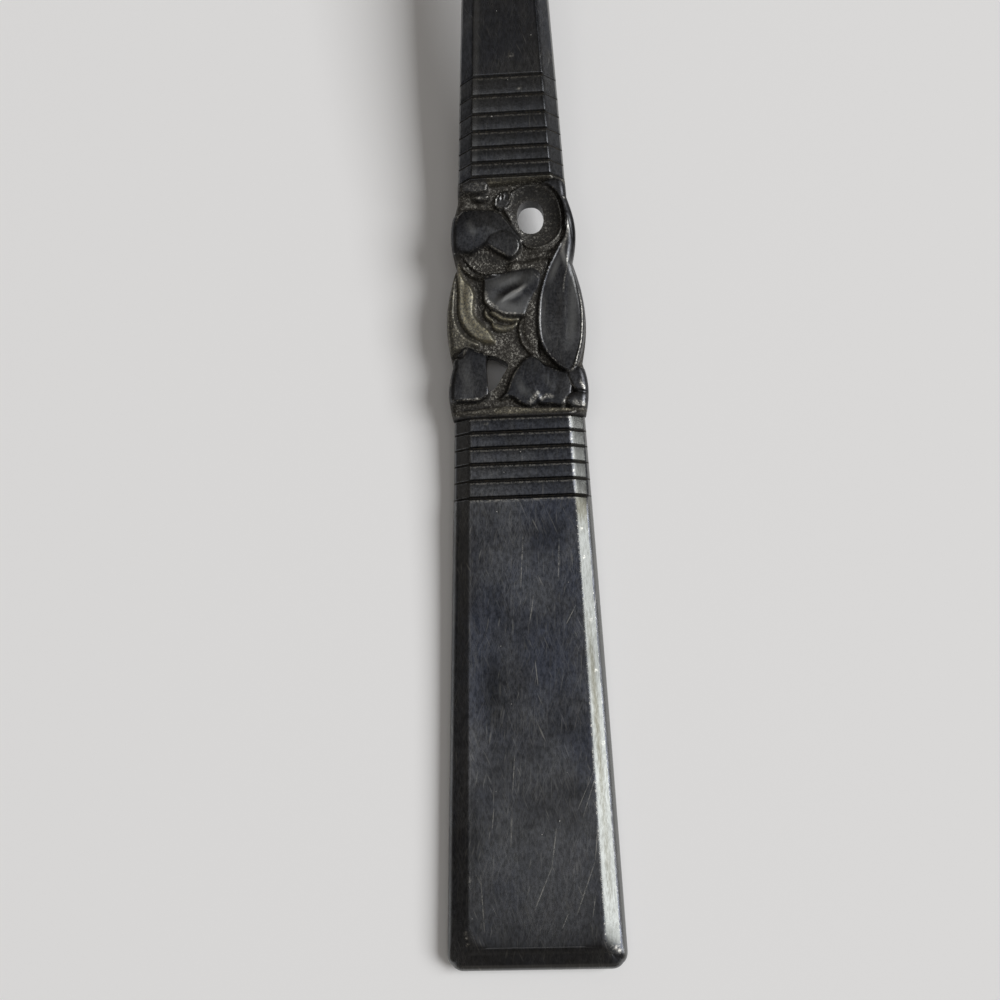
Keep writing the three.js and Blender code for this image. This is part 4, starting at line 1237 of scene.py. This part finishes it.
def buildFineScratches():
    # a drift of thin straight scratches that all run one way
    tree, given, out = group(
        "fineScratches",
        {"Position": ("Vector", None), "Angle": ("Float", 0), "Length": ("Float", 3),
         "Width": ("Float", 0.05), "Share": ("Float", 0.2)},
        {"Mask": "Float"},
    )
    turn = addNode(tree, "VectorRotate", rotation_type="Z_AXIS")
    feed(tree, turn.inputs["Vector"], given["Position"])
    feed(tree, turn.inputs["Angle"], given["Angle"])
    thin, long = (sums(tree, "DIVIDE", 1, given[name]) for name in ("Width", "Length"))
    stretched = vectorSums(tree, "MULTIPLY", turn.outputs[0], combined(tree, thin, long))
    streak = noise(tree, stretched, 0.5, 1, 0.4)
    low = sums(tree, "MULTIPLY_ADD", given["Share"], -0.6, 0.7)
    mask = ramp(tree, streak, low, sums(tree, "ADD", low, 0.2))
    patch = ramp(tree, noise(tree, given["Position"], 0.3, 2), 0.3, 0.7, 0.25, 1)
    feed(tree, out["Mask"], times(tree, mask, patch))


def buildLongScratch():
    # one scratch between two places, uneven along its length
    tree, given, out = group(
        "longScratch",
        {"Position": ("Vector", None), "From": ("Vector", None), "To": ("Vector", None),
         "Width": ("Float", 0.08)},
        {"Mask": "Float"},
    )
    flat = vectorSums(tree, "MULTIPLY", given["Position"], (1, 1, 0))
    offset = vectorSums(tree, "SUBTRACT", flat, given["From"])
    run = vectorSums(tree, "SUBTRACT", given["To"], given["From"])
    squared = vectorSums(tree, "DOT_PRODUCT", run, run)
    share = sums(tree, "DIVIDE", vectorSums(tree, "DOT_PRODUCT", offset, run), squared, clamp=True)
    reached = scaled(tree, run, share)
    away = vectorSums(tree, "LENGTH", vectorSums(tree, "SUBTRACT", offset, reached))
    line = ramp(tree, away, times(tree, given["Width"], 0.5), 0, 0, 1)
    broken = ramp(tree, noise(tree, given["Position"], 3.1, 3, 0.6), 0.36, 0.56, 0.25, 1)
    taper = sums(tree, "POWER", sums(tree, "SINE", times(tree, share, math.pi)), 0.5)
    feed(tree, out["Mask"], times(tree, times(tree, line, broken), taper))


def buildEdgeWear():
    # plate rubbed through on the parts that stand up, in patches with a hard speckle
    tree, given, out = group(
        "edgeWear",
        {"Position": ("Vector", None), "Edge": ("Float", 0), "Amount": ("Float", 0.5),
         "Speckle Size": ("Float", 0.2)},
        {"Mask": "Float", "Speckle": "Float"},
    )
    patch = noise(tree, given["Position"], 0.35, 3, 0.6)
    fine = noise(tree, given["Position"], sums(tree, "DIVIDE", 1, given["Speckle Size"]), 3, 0.7)
    reach = times(tree, given["Edge"], times(tree, given["Amount"], 2))
    level = sums(tree, "ADD", sums(tree, "MULTIPLY_ADD", patch, 0.5, reach), times(tree, fine, 0.4))
    feed(tree, out["Mask"], ramp(tree, level, 0.75, 1.25))
    edgeOnly = times(tree, ramp(tree, given["Edge"], 0.3, 0.6), ramp(tree, level, 1, 1.2, 1, 0))
    feed(tree, out["Speckle"], times(tree, ramp(tree, fine, 0.54, 0.62), edgeOnly))


def buildGrimeInCuts():
    # brown dirt that stays in the cuts
    tree, given, out = group(
        "grimeInCuts",
        {"Position": ("Vector", None), "Recess": ("Float", 0), "Amount": ("Float", 0.5),
         "Dark": ("Color", (0.008, 0.007, 0.006, 1)), "Dry": ("Color", (0.035, 0.028, 0.018, 1))},
        {"Color": "Color", "Mask": "Float"},
    )
    patch = noise(tree, given["Position"], 1.4, 4, 0.65)
    level = sums(tree, "ADD", given["Recess"], sums(tree, "MULTIPLY_ADD", patch, 0.8, -0.4))
    feed(tree, out["Mask"], times(tree, ramp(tree, level, 0.15, 0.75), given["Amount"]))
    dry = ramp(tree, noise(tree, given["Position"], 4.5, 3, 0.6), 0.42, 0.66)
    feed(tree, out["Color"], colourMix(tree, dry, given["Dark"], given["Dry"]))


def buildDustSpecks():
    # single bright grains, scattered
    tree, given, out = group(
        "dustSpecks",
        {"Position": ("Vector", None), "Spacing": ("Float", 0.6), "Size": ("Float", 0.1),
         "Share": ("Float", 0.1)},
        {"Mask": "Float"},
    )
    cells = addNode(tree, "TexVoronoi", feature="F1")
    feed(tree, cells.inputs["Vector"], given["Position"])
    feed(tree, cells.inputs["Scale"], sums(tree, "DIVIDE", 1, given["Spacing"]))
    pick = addNode(tree, "SeparateColor")
    feed(tree, pick.inputs[0], cells.outputs["Color"])
    chosen = sums(tree, "LESS_THAN", pick.outputs[0], given["Share"])
    size = sums(tree, "DIVIDE", given["Size"], given["Spacing"])
    grown = times(tree, size, sums(tree, "MULTIPLY_ADD", pick.outputs[1], 0.7, 0.3))
    dot = sums(tree, "LESS_THAN", cells.outputs["Distance"], grown)
    feed(tree, out["Mask"], times(tree, chosen, dot))


def buildPlateUnevenness():
    # long soft waves, small dents and the scratches' own depth, as a height
    tree, given, out = group(
        "plateUnevenness",
        {"Position": ("Vector", None), "Wave": ("Float", 1), "Pitting": ("Float", 0.2),
         "Scratches": ("Float", 0)},
        {"Height": "Float"},
    )
    wave = times(tree, noise(tree, given["Position"], 0.3, 2, 0.5), given["Wave"])
    pits = times(tree, noise(tree, given["Position"], 6, 4, 0.7), given["Pitting"])
    raised = sums(tree, "ADD", wave, pits)
    feed(tree, out["Height"], sums(tree, "MULTIPLY_ADD", given["Scratches"], -0.25, raised))


for build in (buildTarnishCloud, buildFineScratches, buildLongScratch, buildEdgeWear, buildGrimeInCuts,
              buildDustSpecks, buildPlateUnevenness):
    build()
print("effect groups built")


# The four finishes

colours = {
    "scratched": (0.62, 0.6, 0.54, 1),  # bare metal in scratches and speckle
    "rubbed": (0.9, 0.89, 0.85, 1),  # bare metal that handling has polished
    "brassy": (0.6, 0.5, 0.26, 1),  # bare metal among the golden dirt
    "pale": (0.262, 0.265, 0.26, 1),  # painted highlight and reflection colour, laid on by the sheen mask
    "ground": (0.02, 0.017, 0.013, 1),  # between the grains of the carved ground
    "gilt": (0.27, 0.255, 0.2, 1),  # golden dirt
    "dust": (0.36, 0.35, 0.33, 1),
}

plates = {
    "tarnishedPlate": {
        "dark": (0.038, 0.039, 0.044, 1), "light": (0.07, 0.073, 0.081, 1), "tint": (0.04, 0.045, 0.061, 1),
        "mottle": 0.7, "brushed": 0.5, "worn": (0.087, 0.09, 0.086, 1), "streak": (0.05, 0.049, 0.04, 1),
        "wear": 0.5, "grime": 0.8, "roughness": 0.27, "haze": 0.09, "scratchLight": 0.3, "specks": 0.06,
        "wave": 0.7, "pitting": 0.1, "bump": 0.25,
    },
    "reededPlate": {
        "dark": (0.034, 0.035, 0.038, 1), "light": (0.062, 0.064, 0.069, 1), "tint": (0.038, 0.041, 0.05, 1),
        "mottle": 0.8, "brushed": 0.9, "worn": (0.085, 0.087, 0.083, 1), "streak": (0.05, 0.05, 0.046, 1),
        "wear": 0.42, "grime": 1, "roughness": 0.28, "haze": 0.06, "scratchLight": 0.16, "specks": 0.1,
        "wave": 0.9, "pitting": 0.2, "bump": 0.35,
    },
    "carvedPlate": {
        "dark": (0.032, 0.032, 0.034, 1), "light": (0.062, 0.063, 0.066, 1), "tint": (0.036, 0.038, 0.044, 1),
        "mottle": 0.7, "brushed": 1, "worn": (0.09, 0.088, 0.082, 1), "streak": (0.06, 0.058, 0.05, 1),
        "wear": 0.22, "grime": 0.5, "roughness": 0.34, "haze": 0.05, "scratchLight": 0.12, "specks": 0.03,
        "wave": 0.6, "pitting": 0.25, "bump": 0.35,
    },
    "bowlPlate": {
        "dark": (0.042, 0.043, 0.05, 1), "light": (0.085, 0.086, 0.094, 1), "tint": (0.05, 0.055, 0.07, 1),
        "mottle": 0.4, "brushed": 0.6, "worn": (0.12, 0.12, 0.11, 1), "streak": (0.09, 0.088, 0.07, 1),
        "wear": 0.45, "grime": 0.6, "roughness": 0.26, "haze": 0.08, "scratchLight": 0.2, "specks": 0.02,
        "wave": 0.5, "pitting": 0.1, "bump": 0.25,
    },
}

# scratches that catch the light on the terminal: from, to and width
terminalScratches = [
    ((-0.1, 5.2), (1.6, 8.9), 0.17),
    ((1.6, 8.9), (2.1, 12.2), 0.15),
    ((3.6, 4.8), (5.4, 9.3), 0.17),
    ((5.4, 9.3), (5.8, 12.4), 0.13),
    ((-4.5, 3.4), (-4.75, 8.4), 0.15),
    ((0.3, 30.2), (0.8, 32.9), 0.12),
    ((-0.4, 33.4), (0, 38.6), 0.16),
    ((0.9, 24.6), (0.7, 27), 0.12),
    ((3.6, 30), (4.6, 31.8), 0.13),
    ((4.4, 12.8), (6, 17.2), 0.12),
    ((4, 13.6), (5.8, 17.4), 0.1),
    ((-2, 10.6), (-1.8, 13.4), 0.14),
    ((-1.7, 15.2), (-1.4, 18.6), 0.13),
    ((3.1, 34), (3.3, 38), 0.15),
    ((2.3, 3.7), (2.9, 5), 0.12),
    ((5, 4.6), (5.3, 6.4), 0.12),
    ((-3.6, 12.2), (-3.4, 14), 0.12),
]

# drifts of fine scratches, in radians and millimetres
scratches = {
    "hazeWidth": 0.05,
    "hazeShare": 0.3,
    "haze": [(0.06, 2.4), (-0.32, 1.6), (0.4, 1.3)],  # angle and length
    "clearWidth": 0.1,
    "clearShare": 0.12,
    "clear": [(0.03, 1.5, 40), (-0.38, 1.2, 80), (0.2, 1, 120)],  # angle, length and shift
    "longBright": 0.5,
    "onWear": 0.15,  # how much of them shows where the plate is worn
}


def plateScratches(tree, position, values, longScratches):
    haze = [
        place(tree, "fineScratches", Position=position, Angle=angle, Length=length,
              Width=scratches["hazeWidth"], Share=scratches["hazeShare"])["Mask"]
        for angle, length in scratches["haze"]
    ]
    clear = [
        place(tree, "fineScratches", Position=vectorSums(tree, "ADD", position, (shift, 0, 0)), Angle=angle,
              Length=length, Width=scratches["clearWidth"], Share=scratches["clearShare"])["Mask"]
        for angle, length, shift in scratches["clear"]
    ]
    longMasks = [
        place(tree, "longScratch", Position=position, From=(*start, 0), To=(*end, 0), Width=width)["Mask"]
        for start, end, width in longScratches
    ]
    return greater(
        tree, times(tree, greater(tree, *haze), values["haze"]),
        times(tree, greater(tree, *clear), values["scratchLight"]),
        *[times(tree, mask, scratches["longBright"]) for mask in longMasks],
    )


def makePlate(name, longScratches=(), carved=False):
    values = plates[name]
    material = bpy.data.materials.new(name)
    material.use_nodes = True
    tree = material.node_tree
    tree.nodes.clear()
    coordinates = addNode(tree, "TexCoord")
    position = vectorSums(tree, "MULTIPLY", coordinates.outputs["Object"], (1 / mm, 1 / mm, 1 / mm))
    position = vectorSums(tree, "ADD", position, (0, overallLength / 2, 0))
    tarnish = place(tree, "tarnishCloud", Position=position, CloudSize=7, Dark=values["dark"],
                    Light=values["light"], Tint=values["tint"], Mottle=values["mottle"],
                    Brushed=values["brushed"])
    wear = place(tree, "edgeWear", Position=position, Edge=attribute(tree, "wear"), Amount=values["wear"],
                 SpeckleSize=0.25)
    grime = place(tree, "grimeInCuts", Position=position, Recess=attribute(tree, "recess"),
                  Amount=values["grime"])
    specks = place(tree, "dustSpecks", Position=position, Spacing=0.8, Size=0.06, Share=values["specks"])
    scratched = times(tree, plateScratches(tree, position, values, longScratches),
                      ramp(tree, wear["Mask"], 0, 0.6, 1, scratches["onWear"]))

    # the tarnish, worn through on the edges in a brushed satin, with painted highlights and reflections laid
    # on as a pale colour by the sheen mask
    satin = noise(tree, vectorSums(tree, "MULTIPLY", position, (2.2, 0.4, 1)), 3.2, 4, 0.8)
    streak = sums(tree, "ADD", attribute(tree, "streak"), ramp(tree, satin, 0.3, 0.7, 0.3, -0.3), clamp=True)
    worn = colourMix(tree, streak, values["worn"], values["streak"])
    worn = scaled(tree, worn, ramp(tree, satin, 0.3, 0.7, 0.84, 1.16))
    colour = colourMix(tree, wear["Mask"], tarnish["Color"], worn)
    colour = colourMix(tree, sums(tree, "MINIMUM", attribute(tree, "sheen"), 1), colour, colours["pale"])

    # bare metal in scratches, in the wear's speckle and where handling has rubbed it
    broken = ramp(tree, noise(tree, position, 5, 3, 0.75), 0.44, 0.6, 0.1, 1)
    rubbed = times(tree, attribute(tree, "rubbed"), broken)
    bright = greater(tree, times(tree, wear["Speckle"], 0.5), scratched)
    bare = greater(tree, times(tree, bright, 0.8), rubbed)
    bareColour = colourMix(tree, ramp(tree, rubbed, 0.5, 0.95), colours["scratched"], colours["rubbed"])
    if carved:
        # the stippled ground: glittering grains in brown dirt, some of it golden
        grain, golden = attribute(tree, "grain"), attribute(tree, "gilt")
        salt = noise(tree, position, 4.6, 3, 0.8)
        patches = ramp(tree, noise(tree, position, 0.8, 2), 0.35, 0.65, 0.45, 1)
        glitter = times(tree, ramp(tree, salt, 0.51, 0.62), times(tree, grain, patches))
        warm = colourMix(tree, grain, colour, colours["ground"])
        gilt = times(tree, golden, ramp(tree, salt, 0.36, 0.6, 0.2, 0.9))
        colour = colourMix(tree, gilt, warm, colours["gilt"])
        bare = greater(tree, bare, times(tree, glitter, 0.6))
        bareColour = colourMix(tree, golden, bareColour, colours["brassy"])
    colour = colourMix(tree, sums(tree, "MINIMUM", bare, 1), colour, bareColour)
    # darker by the dark mask: darker tarnish clouds on the terminal, and painted shade on the handle and the
    # panel
    colour = scaled(tree, colour, sums(tree, "MULTIPLY_ADD", attribute(tree, "dark"), -1, 1))
    colour = colourMix(tree, grime["Mask"], colour, grime["Color"])
    colour = colourMix(tree, specks["Mask"], colour, colours["dust"])

    notMetal = greater(tree, times(tree, grime["Mask"], 0.9), specks["Mask"],
                       ramp(tree, rubbed, 0.45, 0.9, 0, 0.6))
    rough = sums(tree, "MULTIPLY_ADD", tarnish["Cloud"], -0.05, values["roughness"] + 0.03)
    rough = sums(tree, "ADD", rough, times(tree, grime["Mask"], 0.4))
    height = place(tree, "plateUnevenness", Position=position, Wave=values["wave"], Pitting=values["pitting"],
                   Scratches=scratched)["Height"]
    if carved:
        rough = greater(tree, rough, times(tree, greater(tree, grain, golden), 0.5))
        notMetal = greater(tree, notMetal, times(tree, grain, ramp(tree, salt, 0.48, 0.58, 0.7, 0)))
        height = sums(tree, "ADD", height, times(tree, salt, times(tree, grain, 1.6)))
    rough = sums(tree, "ADD", rough, times(tree, bare, 0.1), clamp=True)

    bump = addNode(tree, "Bump")
    feed(tree, bump.inputs["Strength"], values["bump"])
    feed(tree, bump.inputs["Distance"], 0.1 * mm)
    feed(tree, bump.inputs["Height"], height)
    shader = addNode(tree, "BsdfPrincipled")
    feed(tree, shader.inputs["Base Color"], colour)
    feed(tree, shader.inputs["Roughness"], rough)
    feed(tree, shader.inputs["Metallic"], sums(tree, "SUBTRACT", 1, notMetal, clamp=True))
    feed(tree, shader.inputs["Normal"], bump.outputs[0])
    output = addNode(tree, "OutputMaterial")
    tree.links.new(shader.outputs[0], output.inputs["Surface"])
    return material


def finish(piece, material):
    piece.data.materials.append(material)


tarnishedMetal = makePlate("tarnishedPlate", terminalScratches)
reededMetal = makePlate("reededPlate")
carvedMetal = makePlate("carvedPlate", carved=True)
bowlMetal = makePlate("bowlPlate")
for piece in (terminalPlate, stemPlate, neckPlate):
    finish(piece, tarnishedMetal)
for piece in (lowerReedsPlate, upperReedsPlate):
    finish(piece, reededMetal)
finish(carvedPlate, carvedMetal)
finish(bowlPlate, bowlMetal)
print("finishes made")

# The table, a plain pale disc

table = {
    "radius": 1.6,
    "thickness": 0.02,
    "segments": 96,
    "colour": (0.86, 0.855, 0.85, 1),
    "roughness": 0.9,
    "specular": 0.2,
}


def makeTable():
    mesh = bpy.data.meshes.new("tableTop")
    builder = bmesh.new()
    bmesh.ops.create_cone(
        builder, cap_ends=True, segments=table["segments"], radius1=table["radius"], radius2=table["radius"],
        depth=table["thickness"],
    )
    bmesh.ops.translate(builder, verts=builder.verts, vec=(0, 0, -table["thickness"] / 2))
    builder.to_mesh(mesh)
    builder.free()
    top = bpy.data.objects.new("tableTop", mesh)
    bpy.context.scene.collection.objects.link(top)
    material = bpy.data.materials.new("paleTable")
    material.use_nodes = True
    shader = material.node_tree.nodes["Principled BSDF"]
    shader.inputs["Base Color"].default_value = table["colour"]
    shader.inputs["Roughness"].default_value = table["roughness"]
    shader.inputs["Specular IOR Level"].default_value = table["specular"]
    mesh.materials.append(material)


makeTable()

# Soft light: a window to the right of the spoon, a pale wall, a pale ceiling and an even surround

lamps = {
    "window": {"aim": (0, -0.045, 0.003), "azimuth": 2, "elevation": 38, "distance": 6,
               "size": (3.8, 2.95), "radiance": 10.3, "colour": (0.975, 0.985, 1)},
    "leftWall": {"aim": (0, -0.03, 0.003), "azimuth": 178, "elevation": 66, "distance": 0.9,
                 "size": (0.4, 0.2), "radiance": 0.6, "colour": (1, 0.98, 0.95)},
    "ceiling": {"aim": (0, -0.06, 0), "azimuth": 0, "elevation": 90, "distance": 0.9,
                "size": (0.8, 0.34), "radiance": 0.72, "colour": (0.95, 0.97, 1)},
}
surround = {"colour": (1, 0.93, 0.85, 1), "strength": 0.165}


def makeLamp(name):
    values = lamps[name]
    across, along = values["size"]
    data = bpy.data.lights.new(name, "AREA")
    data.shape = "RECTANGLE"
    data.size, data.size_y = across, along
    data.color = values["colour"]
    data.energy = values["radiance"] * math.pi * across * along
    azimuth, elevation = math.radians(values["azimuth"]), math.radians(values["elevation"])
    away = Vector((math.cos(azimuth) * math.cos(elevation), math.sin(azimuth) * math.cos(elevation),
                   math.sin(elevation)))
    lamp = bpy.data.objects.new(name, data)
    lamp.location = Vector(values["aim"]) + away * values["distance"]
    lamp.rotation_euler = away.to_track_quat("Z", "Y").to_euler()
    bpy.context.scene.collection.objects.link(lamp)


for name in lamps:
    makeLamp(name)

world = bpy.data.worlds.new("softSurround")
world.use_nodes = True
background = world.node_tree.nodes["Background"]
background.inputs["Color"].default_value = surround["colour"]
background.inputs["Strength"].default_value = surround["strength"]
bpy.context.scene.world = world
bpy.context.scene.view_settings.view_transform = "Standard"
print("table and light set")

# The camera, fitted to the photograph

view = {
    "location": (0.003054, -0.054789, 0.103465),
    "rotation": (10, 3.189, -1.623),
    "lens": 39.6,
    "sensor": 36,
    "reach": (0.005, 10),  # nearest and farthest that it sees
}
camera = bpy.data.cameras.new("photoView")
camera.lens = view["lens"]
camera.sensor_width = view["sensor"]
camera.clip_start, camera.clip_end = view["reach"]
cameraObject = bpy.data.objects.new("photoView", camera)
cameraObject.location = view["location"]
cameraObject.rotation_euler = [math.radians(angle) for angle in view["rotation"]]
bpy.context.scene.collection.objects.link(cameraObject)
bpy.context.scene.camera = cameraObject
